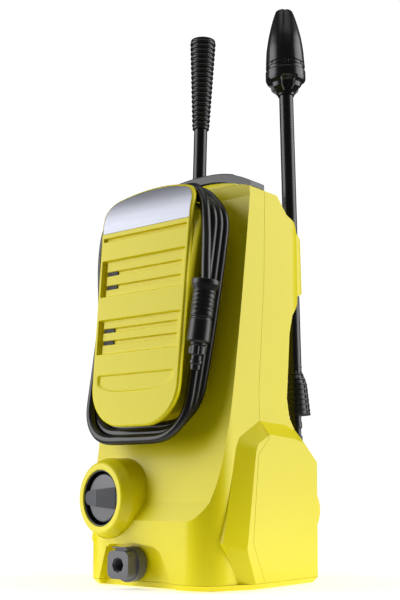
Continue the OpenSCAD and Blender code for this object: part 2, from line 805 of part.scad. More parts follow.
// The ribbed sleeve twists to change the jet; it widens towards its top.
module spray_sleeve() {
    ribs = 18;
    pitch = 6.2;
    low = lance_r + 1.6;
    high = lance_r + 7.4;
    function rib_r(k) = mix(low, high, k / ribs);
    color(black) lance_place(spray_x) translate([0, 0, tube_top_spray]) difference() {
        rotate_extrude($fn = 64) polygon(concat([[0, 0], [low, 0]],
            [for (k = [0:ribs - 1]) let (r = rib_r(k), z = 2 + k * pitch)
                each [[r - 1.4, z], [r - 1.4, z + 2.2], [r + 0.5, z + 3], [r + 0.5, z + 5.4]]],
            [[high - 1, 114], [high - 3, 117], [0, 117]]));
        translate([0, 0, -1]) cylinder(r = lance_r + run_gap, h = 15);
        translate([0, 0, 13.5]) cylinder(r = 7 + run_gap, h = 92);
        translate([0, 0, 100]) cylinder(r = 4.5, h = 30);
    }
}

module spray_core() {
    color("#8d8f94") lance_place(spray_x) translate([0, 0, tube_top_spray]) difference() {
        union() {
            translate([0, 0, 12.3]) cylinder(r = 7, h = 92);
            cylinder(r = lance_r - 2.3, h = 13);
        }
        translate([0, 0, -1]) cylinder(r = 1.6, h = 120);
    }
}

module rotor_lance_tube() {
    color(black) lance_place(rotor_x) lance_tube(tube_top_rotor);
}

module rotor_lance_grip() {
    color(black) lance_place(rotor_x) lance_grip();
}

module rotor_hood() {
    color(black) lance_place(rotor_x) translate([0, 0, tube_top_rotor]) difference() {
        rotate_extrude($fn = 64) polygon([[0, 38], [head_r - 0.7, 38], [head_r - 1, 56], [head_r - 3.2, 72],
            [head_r - 6.6, 86], [head_r - 10.2, 98], [head_r - 12.6, 105], [head_r - 14, 106], [0, 106]]);
        translate([0, 0, 37]) cylinder(r = head_r - 4, h = 20);
        translate([0, 0, 56]) cylinder(r1 = head_r - 4, r2 = head_r - 14, h = 40);
        translate([0, 0, 90]) cylinder(r = 5.5, h = 30);
    }
}

module rotor_ring() {
    color(black) lance_place(rotor_x) translate([0, 0, tube_top_rotor]) difference() {
        rotate_extrude($fn = 64) polygon([[0, 0], [lance_r + 1.5, 0], [lance_r + 3, 3], [head_r - 6, 9],
            [head_r - 5, 13], [head_r, 18], [head_r, 30], [head_r - 0.8, 31], [head_r - 0.8, 34],
            [head_r - 0.2, 35], [head_r - 0.2, 38], [0, 38]]);
        translate([0, 0, -1]) cylinder(r = lance_r + 0.05, h = 15);
        translate([0, 0, 26]) cylinder(r = head_r - 4, h = 20);
        translate([0, 0, -1]) cylinder(r = 4, h = 60);
    }
}

// The turning nozzle inside the head: it sits on a pin and spins in the water.
module rotor_nozzle() {
    color("#8d8f94") lance_place(rotor_x) translate([0, 0, tube_top_rotor]) difference() {
        rotate_extrude() polygon([[0, 26.3], [9, 26.3], [9, 34], [6, 38], [6, 60], [5, 84], [3, 92],
            [0, 92]]);
        translate([0, 0, 20]) cylinder(r = 1.5, h = 80);
    }
}

// ---------- handle ----------

leg_x = half_w - 22.5;
leg_w = 9;
leg_d = 14;
leg_y = 19;
bow_crown = body_h + 27.5;
bow_half = 13;
leg_low = body_h - 74;

// Outline of the bow between two heights: high in the middle, low over the legs.
function bow_line(wide, middle, end, n) = [for (k = [-n:n]) let (x = k / n) [x * wide, mix(middle, end,
    pow(abs(x), 2.6))]];

module carry_handle() {
    foot = body_h + 5.6;
    inner = bow_line(leg_x - 7, bow_crown - 8.5, foot, 11);
    color(black) {
        translate([0, leg_y + bow_half, 0]) rotate([90, 0, 0]) linear_extrude(2 * bow_half) polygon(concat(
            bow_line(leg_x + 5, bow_crown, foot + 6, 12), [[leg_x + 5, foot], [leg_x - 5, foot]],
            [for (k = [len(inner) - 1:-1:0]) inner[k]], [[5 - leg_x, foot], [-leg_x - 5, foot]]));
        for (s = [-1, 1]) translate([s * leg_x - leg_w / 2, leg_y - leg_d / 2, leg_low])
            cube([leg_w, leg_d, foot - leg_low + 1]);
        for (s = [-1, 1]) translate([s * leg_x - leg_w / 2 - 1.4, leg_y - leg_d / 2 + 4, leg_low])
            cube([leg_w + 2.8, leg_d - 8, 6]);
    }
}

module handle_grip() {
    reach = 0.66;
    top = [for (k = [-8:8]) let (x = reach * k / 8) [x * (leg_x + 5), mix(bow_crown, body_h + 11.6,
        pow(abs(x), 2.6))]];
    color("#26262a") translate([0, leg_y + bow_half - 0.6, 0]) rotate([90, 0,
        0]) linear_extrude(2 * bow_half - 1.2)
        polygon(concat([for (p = top) p + [0, 0.9]], [for (k = [len(top) - 1:-1:0]) top[k] + [0, 0.05]]));
}

module handle_guides() {
    low = leg_low - 6;
    g = 0.35;
    color("#3a3a3e") for (s = [-1, 1]) translate([s * leg_x, leg_y, 0]) difference() {
        translate([-leg_w / 2 - 4.5, -leg_d / 2 - 3, low]) cube([leg_w + 9, leg_d + 6, body_h - 6.4 - low]);
        translate([-leg_w / 2 - g, -leg_d / 2 - g, low + 3]) cube([leg_w + 2 * g, leg_d + 2 * g, 200]);
        translate([-leg_w / 2 - 1.8, -leg_d / 2 + 3.4, low + 3])
            cube([leg_w + 3.6, leg_d - 6.8, leg_low - low + 3.6 + handle_travel]);
    }
}

// ---------- motor and pump ----------

module on_motor() {
    translate([motor_x, motor_y, 0]) children();
}

core_z = motor_z + 22;
core_h = 46;

module motor_frame() {
    color("#9a9ca2") on_motor() {
        difference() {
            translate([0, 0, motor_z]) cylinder(r = motor_r, h = 10);
            translate([0, 0, motor_z - 1]) cylinder(r = 9.1, h = 30);
        }
        difference() {
            translate([0, 0, motor_z + motor_l - 9]) cylinder(r = motor_r, h = 9);
            translate([0, 0, motor_z + motor_l - 12]) cylinder(r = 9.1, h = 30);
        }
        for (a = [45:90:315]) rotate(a) translate([motor_r - 5, 0, motor_z + 9]) cylinder(r = 3,
            h = motor_l - 17);
    }
}

module stator_core() {
    color("#7d8087") on_motor() difference() {
        translate([0, 0, core_z]) cylinder(r = motor_r - 1, h = core_h);
        translate([0, 0, core_z - 1]) cylinder(r = stator_in, h = core_h + 2);
        for (a = [45:90:315]) rotate(a) translate([motor_r - 5, 0, core_z - 1]) cylinder(r = 3.1,
            h = core_h + 2);
    }
}

module field_windings() {
    color("#b5652a") on_motor() for (z = [core_z - 9, core_z + core_h])
        translate([0, 0, z]) ring(motor_r - 10, stator_in + 1, 9);
}

module rotor_core() {
    color("#85888f") on_motor() difference() {
        translate([0, 0, core_z]) cylinder(r = rotor_r, h = core_h);
        translate([0, 0, core_z - 1]) cylinder(r = shaft_r + 0.02, h = core_h + 2);
        for (a = [0:30:330]) rotate(a) translate([rotor_r, 0, core_z - 1]) cylinder(r = 1.6,
            h = core_h + 2);
    }
}

module rotor_shaft() {
    color("silver") on_motor() translate([0, 0, case_z + 8]) cylinder(r = shaft_r,
        h = fan_z + 10 - case_z - 8);
}

module commutator() {
    color("#b87333") on_motor() translate([0, 0, core_z + core_h + 11]) difference() {
        cylinder(r = 11, h = 16);
        translate([0, 0, -1]) cylinder(r = shaft_r + 0.02, h = 30);
    }
}

module carbon_brushes() {
    z = core_z + core_h + 14;
    color("#222222") on_motor() for (a = [0, 180]) rotate(a) translate([11.3, -4,
        z]) cube([motor_r - 14, 8, 9]);
}

module motor_bearings() {
    color("silver") on_motor() for (z = [motor_z + 1, motor_z + motor_l - 8])
        translate([0, 0, z]) ring(9, shaft_r + run_gap, 7);
}

module cooling_fan() {
    color(black) on_motor() translate([0, 0, fan_z]) difference() {
        union() {
            cylinder(r = motor_r - 4, h = 2);
            cylinder(r = 9, h = 12);
            for (a = [0:30:330]) rotate(a) translate([8, -0.8, 1]) cube([motor_r - 13, 1.6, 11]);
        }
        translate([0, 0, -1]) cylinder(r = shaft_r + 0.02, h = 30);
    }
}

module wobble_plate() {
    color("silver") on_motor() difference() {
        intersection() {
            translate([0, 0, case_z + 20]) rotate([9, 0, 0]) cylinder(r = 27, h = 7, center = true);
            translate([0, 0, case_z]) cylinder(r = 25.5, h = case_h);
        }
        translate([0, 0, case_z]) cylinder(r = shaft_r + 0.02, h = case_h);
    }
}

module pump_case() {
    color("#a5a7ad") on_motor() difference() {
        translate([0, 0, case_z + 0.05]) cylinder(r = motor_r - 8, h = case_h - 0.1);
        translate([0, 0, case_z - 1]) cylinder(r = 26.5, h = case_h - 3);
        translate([0, 0, case_z - 1]) cylinder(r = shaft_r + 1, h = case_h + 3);
    }
}

module pump_head() {
    color("#4b4d52") on_motor() difference() {
        translate([0, 0, pump_z]) cylinder(r = motor_r - 8, h = pump_h);
        for (a = [30:120:270]) rotate(a) translate([piston_pcd, 0,
            pump_z + 12]) cylinder(r = piston_r + run_gap, h = 60);
        for (a = [90:120:330]) rotate(a) translate([piston_pcd, 0, pump_z + 2]) cylinder(r = 4.1, h = 14);
    }
}

module pump_pistons() {
    color("silver") on_motor() for (a = [30:120:270]) rotate(a)
        translate([piston_pcd, 0, pump_z + 16]) {
            cylinder(r = piston_r, h = pump_h - 10);
            translate([0, 0, pump_h - 12]) cylinder(r = piston_r + 1, h = 2);
        }
}

module piston_springs() {
    color("silver") on_motor() for (a = [30:120:270]) rotate(a)
        translate([piston_pcd, 0, pump_z + pump_h + 0.3]) ring(piston_r + 1, piston_r + 0.2, 3.4);
}

module pump_valves() {
    color("#b08d3c") on_motor() for (a = [90:120:330]) rotate(a)
        translate([piston_pcd, 0, pump_z + 2.1]) cylinder(r = 4, h = 12);
}

module pressure_switch() {
    color("#3a3a3e") translate([motor_x - 12, motor_y - motor_r - 17, pump_z + 20]) difference() {
        cube([24, 24.7, 20]);
        translate([12, 12, -1]) cylinder(r = 2, h = 30);
    }
}

module noise_capacitor() {
    color("#2f4a78") translate([motor_x + motor_r + 10, motor_y, motor_z + 30]) {
        cylinder(r = 8, h = 34);
        translate([-10.7, -5, 8]) cube([3.5, 10, 12]);
    }
}

module suction_pipe() {
    route = [[inlet_x, back_y - 30, inlet_z], [inlet_x, back_y - 36, inlet_z - 2], [inlet_x,
        back_y - 40, inlet_z - 10],
        [inlet_x, back_y - 42, 44], [inlet_x + 2, back_y - 44, 32],
        [motor_x, motor_y, 27] + (motor_r - 6.5) * [cos(129), sin(129), 0]];
    color("#2a2a2e") swept_tube(route, 5, 10, [1, 0.3, 0]);
}

module pressure_pipe() {
    y0 = outlet_face + 62.4;
    route = [[outlet_x, y0, outlet_z], [outlet_x, y0 + 8, outlet_z], [outlet_x + 2, y0 + 14, outlet_z + 1],
        [motor_x - 9, motor_y - motor_r + 7.9, outlet_z + 2]];
    color("silver") swept_tube(route, 4, 10, [0, 0, 1]);
}

module motor_mounts() {
    color(black) on_motor() for (a = [45:90:315]) rotate(a)
        translate([motor_r - 15, 0, foot_h + 2.7]) cylinder(r = 6, h = pump_z - foot_h - 3);
    y0 = motor_y + motor_r + seat_gap;
    color(black) translate([-9, y0, motor_z + motor_l - 9]) cube([18,
        back_y - 6 - wall - seat_gap - y0, 8]);
}

module housing_screws() {
    color("silver") for (p = screw_points) translate([p[0], back_y - p[2] - wall, p[1]]) rotate([-90,
        0, 0]) {
        translate([0, 0, -12]) cylinder(r = 2, h = 12 + wall);
        translate([0, 0, wall + 0.05]) difference() {
            cylinder(r = 3.6, h = 1.8);
            translate([0, 0, 0.8]) cylinder(r = 1.6, h = 2, $fn = 6);
        }
    }
}

front_shell();
rear_shell();
base_tray();
rubber_feet();
hose_hub();
hose_panel();
badge_plate();
switch_collar();
switch_liner();
switch_knob();
switch_spindle();
switch_box();
outlet_body();
outlet_clip();
outlet_seal();
inlet_spigot();
inlet_filter();
cable_gland();
cable_cleat();
lance_clips();
lance_sockets();
carry_handle();
handle_grip();
handle_guides();
motor_frame();
stator_core();
field_windings();
rotor_core();
rotor_shaft();
commutator();
carbon_brushes();
motor_bearings();
cooling_fan();
wobble_plate();
pump_case();
pump_head();
pump_pistons();
piston_springs();
pump_valves();
pressure_switch();
noise_capacitor();
suction_pipe();
pressure_pipe();
motor_mounts();
housing_screws();
panel_screws();
spray_lance_tube();
spray_sleeve();
spray_core();
spray_lance_grip();
rotor_lance_tube();
rotor_hood();
rotor_ring();
rotor_nozzle();
rotor_lance_grip();
hose_coil();
hose_tail();
hose_coupling();
hose_gun_end();
top_trim();
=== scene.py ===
import json
import math

import bmesh
import bpy
import numpy as np
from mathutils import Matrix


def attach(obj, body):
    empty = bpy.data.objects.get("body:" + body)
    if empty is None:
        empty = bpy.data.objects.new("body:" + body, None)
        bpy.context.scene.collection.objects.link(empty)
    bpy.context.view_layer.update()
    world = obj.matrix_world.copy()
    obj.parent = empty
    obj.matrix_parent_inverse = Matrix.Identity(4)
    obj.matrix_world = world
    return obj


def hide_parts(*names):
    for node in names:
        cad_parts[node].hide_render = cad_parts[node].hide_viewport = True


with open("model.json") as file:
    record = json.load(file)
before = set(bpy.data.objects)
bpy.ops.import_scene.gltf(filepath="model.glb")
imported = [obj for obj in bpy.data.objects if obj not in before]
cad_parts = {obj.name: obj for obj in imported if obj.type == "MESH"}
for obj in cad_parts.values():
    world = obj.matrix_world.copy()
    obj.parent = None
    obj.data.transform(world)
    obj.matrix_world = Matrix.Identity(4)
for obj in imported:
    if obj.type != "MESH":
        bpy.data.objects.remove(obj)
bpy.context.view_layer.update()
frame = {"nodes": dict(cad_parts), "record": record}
NODES = frame["nodes"]
print("designed nodes:", len(NODES))

# %% [markdown]
# ## Units and the viewpoint
# The scene is measured in metres and the machine's sizes are in millimetres, so
# lengths are written in millimetres and multiplied by MM. The viewpoint stands
# low and to the right of the machine, with a lens long enough to keep the
# upright edges nearly parallel.
# %% Units and viewpoint
MM = 0.001
LENS_MM = 61.3
CAMERA_PLACE = (0.7043, -0.8492, 0.0989)
CAMERA_PITCH = 100.38
CAMERA_TURN = 39.44

camera_data = bpy.data.cameras.new("studio_camera")
camera_data.lens = LENS_MM
camera_data.sensor_fit = "VERTICAL"
camera_data.sensor_height = 36
camera_data.clip_end = 50
camera = bpy.data.objects.new("studio_camera", camera_data)
camera.location = CAMERA_PLACE
camera.rotation_euler = (math.radians(CAMERA_PITCH), 0, math.radians(CAMERA_TURN))
bpy.context.scene.collection.objects.link(camera)
bpy.context.scene.camera = camera
print("camera at", CAMERA_PLACE)

# %% [markdown]
# ## Colours and nodes
# A screen colour such as #E6DC2C is stored bent, so that dark tones get more
# steps. The renderer adds light, which is only right on straight values, so
# one function unbends each colour. A second one adds a shader node with its
# settings and its links in one line.
# %% Colour and node helpers


def linear(code):
    """The straight RGBA of a screen colour: each channel below 0.04045 is divided
    by 12.92, and above it ((c + 0.055) / 1.055) to the power 2.4."""
    c = np.array([int(code[i : i + 2], 16) / 255 for i in (1, 3, 5)])
    straight = np.where(c <= 0.04045, c / 12.92, ((c + 0.055) / 1.055) ** 2.4)
    return (*straight.tolist(), 1.0)


def add(tree, kind, settings=None, **sockets):
    """Adds a node. settings are its properties; sockets are values or outputs to
    link, with an underscore for each space in a socket's name, or n and its number."""
    node = tree.nodes.new(kind)
    for key, value in (settings or {}).items():
        setattr(node, key, value)
    for key, value in sockets.items():
        numbered = key[0] == "n" and key[1:].isdigit()
        socket = node.inputs[int(key[1:]) if numbered else key.replace("_", " ")]
        if isinstance(value, bpy.types.NodeSocket):
            tree.links.new(value, socket)
        else:
            socket.default_value = value
    return node


def new_material(name):
    """An empty node material, its tree and its output node."""
    material = bpy.data.materials.new(name)
    material.use_nodes = True
    tree = material.node_tree
    tree.nodes.clear()
    return material, tree, tree.nodes.new("ShaderNodeOutputMaterial")


# %% [markdown]
# ## Moulded plastics
# Most of the machine is injection-moulded plastic. A mould leaves a surface
# that is smooth but not a mirror: the reflection of a lamp has a soft edge,
# and a very slow waviness from shrinkage bends it a little. A noise of some
# tens of millimetres in the bump gives the waviness, and a grain of a
# fraction of a millimetre in the roughness gives the soft edge some life.
# %% Plastics


def moulded_plastic(name, colour, roughness, grain_mm=0.6, wave_mm=30.0, grain=0.02, ior=1.52, coat=0.0):
    """A dielectric whose roughness varies by a fine grain; bump is a slow wave plus
    the grain, both much shallower than they are wide."""
    material, tree, out = new_material(name)
    place = add(tree, "ShaderNodeTexCoord").outputs["Object"]
    fine = add(tree, "ShaderNodeTexNoise", None, Vector=place, Scale=1 / (grain_mm * MM), Detail=2.0)
    slow = add(tree, "ShaderNodeTexNoise", None, Vector=place, Scale=1 / (wave_mm * MM), Detail=1.0)
    rough = add(tree, "ShaderNodeMapRange", None, Value=fine.outputs["Fac"], To_Min=roughness - 0.03,
                To_Max=roughness + 0.03)
    wave = add(tree, "ShaderNodeBump", None, Height=slow.outputs["Fac"], Strength=0.25, Distance=0.25 * MM)
    bump = add(tree, "ShaderNodeBump", None, Height=fine.outputs["Fac"], Strength=grain, Distance=0.1 * MM,
               Normal=wave.outputs["Normal"])
    shader = add(tree, "ShaderNodeBsdfPrincipled", None, Base_Color=linear(colour), IOR=ior,
                 Roughness=rough.outputs["Result"], Normal=bump.outputs["Normal"])
    if coat:
        shader.inputs["Coat Weight"].default_value = coat
        shader.inputs["Coat Roughness"].default_value = 0.12
    tree.links.new(shader.outputs["BSDF"], out.inputs["Surface"])
    return material


# ABS, injection moulded in a polished tool: satin gloss, deep colour
yellow_abs = moulded_plastic("yellow_moulded_ABS", "#F0E208", 0.34, wave_mm=45, ior=1.4)
# Glass-filled polyamide for handles and couplings: satin, near black
black_polyamide = moulded_plastic("black_moulded_polyamide", "#0E0E10", 0.34, grain=0.08)
# Polypropylene, smooth: a little shinier than the polyamide
black_polypropylene = moulded_plastic("black_moulded_polypropylene", "#0B0B0D", 0.26)
# Dark grey ABS of the knob and the outlet
grey_abs = moulded_plastic("grey_moulded_ABS", "#57585E", 0.36, grain=0.05)
# Plasticised PVC jacket of the hose, extruded: satin
hose_jacket = moulded_plastic("black_extruded_PVC", "#101013", 0.3, wave_mm=18, grain=0.03)
# Nitrile and EPDM rubber: dull
black_rubber = moulded_plastic("black_moulded_rubber", "#121212", 0.6, grain=0.15)
# Polyethylene mesh of the inlet filter, drawn as a dull solid
filter_mesh = moulded_plastic("yellow_filter_polyethylene", "#C8BD48", 0.5)
# Lacquered case of the interference capacitor
blue_case = moulded_plastic("blue_lacquered_case", "#1D3558", 0.4)
# Pressed carbon of the brushes
pressed_carbon = moulded_plastic("pressed_carbon", "#1B1B1D", 0.55, grain=0.2)
print("plastics:", len(bpy.data.materials))

# %% [markdown]
# ## Metals
# The badge is aluminium sheet, brushed along its width. Brushing leaves fine
# parallel scratches that spread a reflection across them, so the noise is
# stretched along X, and it drives both the roughness and a very shallow bump.
# The inner metals are turned, cast or rolled, and need only a plain shader
# with a little unevenness. A metal keeps its default IOR.
# %% Metals


def worked_metal(name, colour, roughness, stretch=(1, 1, 1), grain_mm=1.0, depth=0.1, spread=0.08):
    """A metal whose roughness and bump follow one noise; stretch divides the grain's
    frequency along each axis, so a long stretch gives brush lines."""
    material, tree, out = new_material(name)
    place = add(tree, "ShaderNodeTexCoord").outputs["Object"]
    scaled = add(tree, "ShaderNodeMapping", None, Vector=place, Scale=tuple(1 / s for s in stretch))
    grain = add(tree, "ShaderNodeTexNoise", None, Vector=scaled.outputs["Vector"],
                Scale=1 / (grain_mm * MM), Detail=4.0, Roughness=0.7)
    rough = add(tree, "ShaderNodeMapRange", None, Value=grain.outputs["Fac"], From_Min=0.3, From_Max=0.7,
                To_Min=roughness - spread, To_Max=roughness + spread)
    tint = add(tree, "ShaderNodeMapRange", None, Value=grain.outputs["Fac"], From_Min=0.3, From_Max=0.7,
               To_Min=0.86, To_Max=1.0)
    base = add(tree, "ShaderNodeVectorMath", {"operation": "SCALE"}, n0=linear(colour)[:3],
               Scale=tint.outputs["Result"])
    bump = add(tree, "ShaderNodeBump", None, Height=grain.outputs["Fac"], Strength=depth,
               Distance=0.05 * MM)
    shader = add(tree, "ShaderNodeBsdfPrincipled", None, Base_Color=base.outputs["Vector"], Metallic=1.0,
                 Roughness=rough.outputs["Result"], Normal=bump.outputs["Normal"])
    tree.links.new(shader.outputs["BSDF"], out.inputs["Surface"])
    return material


# Brush lines are 0.05 to 0.1 mm wide; they are drawn 0.5 mm wide so that they show
brushed_aluminium = worked_metal("brushed_aluminium", "#A9ABB5", 0.5, stretch=(60, 1, 1), grain_mm=0.5,
                                 depth=0.3)
turned_steel = worked_metal("turned_steel", "#B9BBBF", 0.3)
die_cast_aluminium = worked_metal("die_cast_aluminium", "#A9ABB0", 0.5, grain_mm=2)
varnished_laminations = worked_metal("varnished_steel_laminations", "#5B5F66", 0.5, stretch=(9, 9, 1),
                                     grain_mm=0.5)
enamelled_copper = worked_metal("enamelled_copper_wire", "#C46E36", 0.35, stretch=(6, 6, 1), grain_mm=0.8)
turned_brass = worked_metal("turned_brass", "#C9A24E", 0.3)
print("materials:", len(bpy.data.materials))

# %% [markdown]
# ## A finish for every designed piece
# The design names a material slot for each piece. Each slot gets one of the
# finishes above, so even the pump inside, which shows only through the vents,
# is made of the right stuff.
# %% Finish by slot
FINISHES = {
    "shell_yellow": yellow_abs,
    "black_plastic": black_polyamide,
    "black_gloss": black_polypropylene,
    "grey_plastic": grey_abs,
    "badge_metal": brushed_aluminium,
    "rubber_black": black_rubber,
    "hose_pvc": hose_jacket,
    "steel": turned_steel,
    "lamination": varnished_laminations,
    "copper": enamelled_copper,
    "brass_part": turned_brass,
    "die_cast": die_cast_aluminium,
    "carbon": pressed_carbon,
    "filter_mesh": filter_mesh,
    "capacitor_blue": blue_case,
}
SLOT_OF = {part["node"]: part["material_slot"] for part in frame["record"]["subparts"]}
BODY_OF = {node: body for body, nodes in frame["record"]["behaviour"]["bodies"].items() for node in nodes}
for node, designed in NODES.items():
    designed.data.materials.clear()
    designed.data.materials.append(FINISHES[SLOT_OF[node]])
print("finished nodes:", len(SLOT_OF))

# %% [markdown]
# ## Copies with rounded edges
# No moulded edge is sharp: the tool's corners have a radius, and that thin
# round line catches the light and draws the part. A copy of the designed mesh
# is merged, because it arrives as loose triangles, its flat faces are joined
# again, and a Bevel modifier rounds each edge that turns by more than an
# angle. The copy keeps the design's place, and stands in for the node.
# %% Rounded copies


def smooth_by_angle(mesh, degrees):
    """Shades a mesh smooth, except over edges that turn by more than the angle."""
    mesh.polygons.foreach_set("use_smooth", np.ones(len(mesh.polygons), bool))
    mesh.set_sharp_from_angle(angle=math.radians(degrees))


def rounded_copy(node, radius_mm, degrees=24, steps=3, finish=None, name=None):
    """A merged copy of a designed node whose edges are rounded to a radius."""
    mesh = NODES[node].data.copy()
    shape = bmesh.new()
    shape.from_mesh(mesh)
    bmesh.ops.remove_doubles(shape, verts=shape.verts, dist=0.004 * MM)
    bmesh.ops.dissolve_degenerate(shape, edges=shape.edges, dist=0.01 * MM)
    bmesh.ops.dissolve_limit(shape, angle_limit=math.radians(0.6), verts=shape.verts, edges=shape.edges)
    shape.to_mesh(mesh)
    shape.free()
    mesh.name = name or node + "_finished"
    piece = bpy.data.objects.new(mesh.name, mesh)
    bpy.context.scene.collection.objects.link(piece)
    mesh.materials.clear()
    mesh.materials.append(finish or FINISHES[SLOT_OF[node]])
    smooth_by_angle(mesh, degrees)
    if radius_mm:
        bevel = piece.modifiers.new("moulded_edge", "BEVEL")
        bevel.width = radius_mm * MM
        bevel.segments = steps
        bevel.limit_method = "ANGLE"
        bevel.angle_limit = math.radians(degrees)
        bevel.use_clamp_overlap = True
        bevel.miter_outer = "MITER_ARC"
        weighted = piece.modifiers.new("even_shading", "WEIGHTED_NORMAL")
        weighted.keep_sharp = True
    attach(piece, BODY_OF[node])
    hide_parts(node)
    return piece


EDGE_RADII = {
    "front_shell": 0.9,
    "rear_shell": 0.9,
    "base_tray": 0.8,
    "hose_hub": 0.8,
    "switch_collar": 0.8,
    "top_trim": 1.2,
    "switch_liner": 0.3,
    "cable_cleat": 1.2,
    "badge_plate": 0.15,
    "outlet_clip": 0.4,
    "carry_handle": 2.2,
    "lance_clips": 0.6,
    "lance_sockets": 0.6,
    "inlet_spigot": 0.4,
    "cable_gland": 0.4,
    "rubber_feet": 0.3,
}
for node, radius in EDGE_RADII.items():
    piece = rounded_copy(node, radius)
    print(piece.name, len(piece.data.polygons), "faces before rounding")

# %% [markdown]
# ## Turned shapes
# Tubes, sleeves, nozzles and couplings are round about one axis. Each is a
# grid: rows follow a profile of radius and height, columns go round the axis.
# A shape function may change the radius by height and angle, which cuts
# grips and claws into the round form.
# %% Profiles and turned surfaces


def softened(corners, radius_mm, steps=4):
    """Rounds each inner corner of a profile with a quadratic curve: the curve starts
    and ends at most radius away from the corner, and never past 45 % of a side."""
    p = np.array(corners, float)
    before, after = p[:-2] - p[1:-1], p[2:] - p[1:-1]
    back, ahead = np.linalg.norm(before, axis=1), np.linalg.norm(after, axis=1)
    reach = np.minimum(radius_mm, 0.45 * np.minimum(back, ahead))[:, None]
    start, end = p[1:-1] + before / back[:, None] * reach, p[1:-1] + after / ahead[:, None] * reach
    t = np.linspace(0, 1, steps + 1)[None, :, None]
    arcs = (1 - t) ** 2 * start[:, None] + 2 * t * (1 - t) * p[1:-1, None] + t**2 * end[:, None]
    return np.concatenate([p[:1], arcs.reshape(-1, 2), p[-1:]])


def densified(profile, step_mm):
    """Adds points along a profile so that no step is longer than step_mm."""
    p = np.asarray(profile, float)
    length = np.concatenate([[0], np.cumsum(np.linalg.norm(np.diff(p, axis=0), axis=1))])
    even = np.linspace(0, length[-1], int(length[-1] / step_mm) + 2)
    along = np.unique(np.concatenate([length, even]).round(5))
    return np.stack([np.interp(along, length, p[:, k]) for k in (0, 1)], axis=1)


def grid_piece(name, points, body, finish, nodes=(), wrap=True, degrees=35):
    """A closed skin over a grid of points in millimetres: neighbours make quads, the
    columns close on themselves, and doubled points at the poles are merged."""
    rows, columns = points.shape[:2]
    index = np.arange(rows * columns).reshape(rows, columns)
    if wrap:
        index = np.concatenate([index, index[:, :1]], axis=1)
    quads = np.stack([index[:-1, :-1], index[:-1, 1:], index[1:, 1:], index[1:, :-1]], axis=-1)
    mesh = bpy.data.meshes.new(name)
    mesh.from_pydata((points.reshape(-1, 3) * MM).tolist(), [], quads.reshape(-1, 4).tolist())
    shape = bmesh.new()
    shape.from_mesh(mesh)
    bmesh.ops.remove_doubles(shape, verts=shape.verts, dist=0.002 * MM)
    bmesh.ops.recalc_face_normals(shape, faces=shape.faces)
    shape.to_mesh(mesh)
    shape.free()
    mesh.materials.append(finish)
    smooth_by_angle(mesh, degrees)
    piece = bpy.data.objects.new(name, mesh)
    bpy.context.scene.collection.objects.link(piece)
    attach(piece, body)
    if nodes:
        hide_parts(*nodes)
    return piece


def on_axis(origin, axis, sideways):
    """A place for a turned shape: origin, and the directions of its x, y and z."""
    z = np.array(axis, float) / np.linalg.norm(axis)
    y = np.cross(z, sideways)
    y /= np.linalg.norm(y)
    return np.array(origin, float), np.cross(y, z), y, z


def turned_points(profile, place, columns=72, shape=None):
    """Grid of a turned shape: point = origin + r cos(a) x + r sin(a) y + h z, for
    each profile point (r, h) and each of the evenly spaced angles a."""
    profile = np.asarray(profile, float)
    angle = np.linspace(0, 2 * np.pi, columns, endpoint=False)[None, :]
    r, h = profile[:, :1] + 0 * angle, profile[:, 1:] + 0 * angle
    if shape is not None:
        r = shape(r, h, angle + 0 * r)
    origin, x, y, z = place
    r, h, angle = r[..., None], h[..., None], angle[..., None]
    return origin + r * np.cos(angle) * x + r * np.sin(angle) * y + h * z


def step_between(value, low, high):
    """0 below low, 1 above high, and the smooth 3t^2 - 2t^3 between them."""
    t = np.clip((value - low) / (high - low), 0, 1)
    return t * t * (3 - 2 * t)


# %% [markdown]
# ## The stowed lances
# Each lance is a straight tube that stands nose down in a socket and leans
# inwards by one or two degrees. The places below are those of the design; the lance
# axis at height h is its foot on the ground plus h along the leaning axis.
# %% Lance places and tubes
LANCE_Y = 83.0
SPRAY_LEAN, ROTOR_LEAN = math.radians(1.9), math.radians(-0.87)
SPRAY_X, ROTOR_X = -79.0, 75.3
LANCE_R, HEAD_R = 8.2, 23.2
LANCE_Z, GRIP_Z = 128.0, 176.0
SPRAY_TOP, ROTOR_TOP = 534.0, 545.0


def lance_axis(x):
    """Place of a lance: it leans towards the middle, so its side axis tips as well."""
    lean = SPRAY_LEAN if x < 0 else ROTOR_LEAN
    return on_axis((x, LANCE_Y, 0), (math.sin(lean), 0, math.cos(lean)), (1, 0, 0))


for lance, x, top in (("spray", SPRAY_X, SPRAY_TOP), ("rotor", ROTOR_X, ROTOR_TOP)):
    profile = [(0, GRIP_Z + 5), (LANCE_R, GRIP_Z + 5), (LANCE_R, top + 11.5), (0, top + 11.5)]
    node = lance + "_lance_tube"
    tube = grid_piece(node + "_finished", turned_points(profile, lance_axis(x), 96), BODY_OF[node],
                      black_polypropylene, [node])
    print(tube.name, len(tube.data.polygons))

# %% [markdown]
# ## The twist sleeve
# The spray lance ends in a sleeve that is twisted to change the jet. Eighteen
# round ribs give wet gloves a hold, and the sleeve widens towards its end. The
# rib is a raised half wave: its height is the square root of a sine, which is
# round on top and steep at its foot, as a moulded rib is.
# %% Twist sleeve
RIBS, RIB_PITCH = 18, 6.2
SLEEVE_LOW, SLEEVE_HIGH = LANCE_R + 0.6, LANCE_R + 6.2
RIB_HEIGHT = 1.9


def rib_rise(h):
    """Share of a rib's height at h: a rib fills four fifths of each pitch."""
    phase = np.mod(h - 3, RIB_PITCH) / RIB_PITCH / 0.8
    return np.where(phase < 1, np.sqrt(np.clip(np.sin(np.pi * np.clip(phase, 0, 1)), 0, 1)), 0)


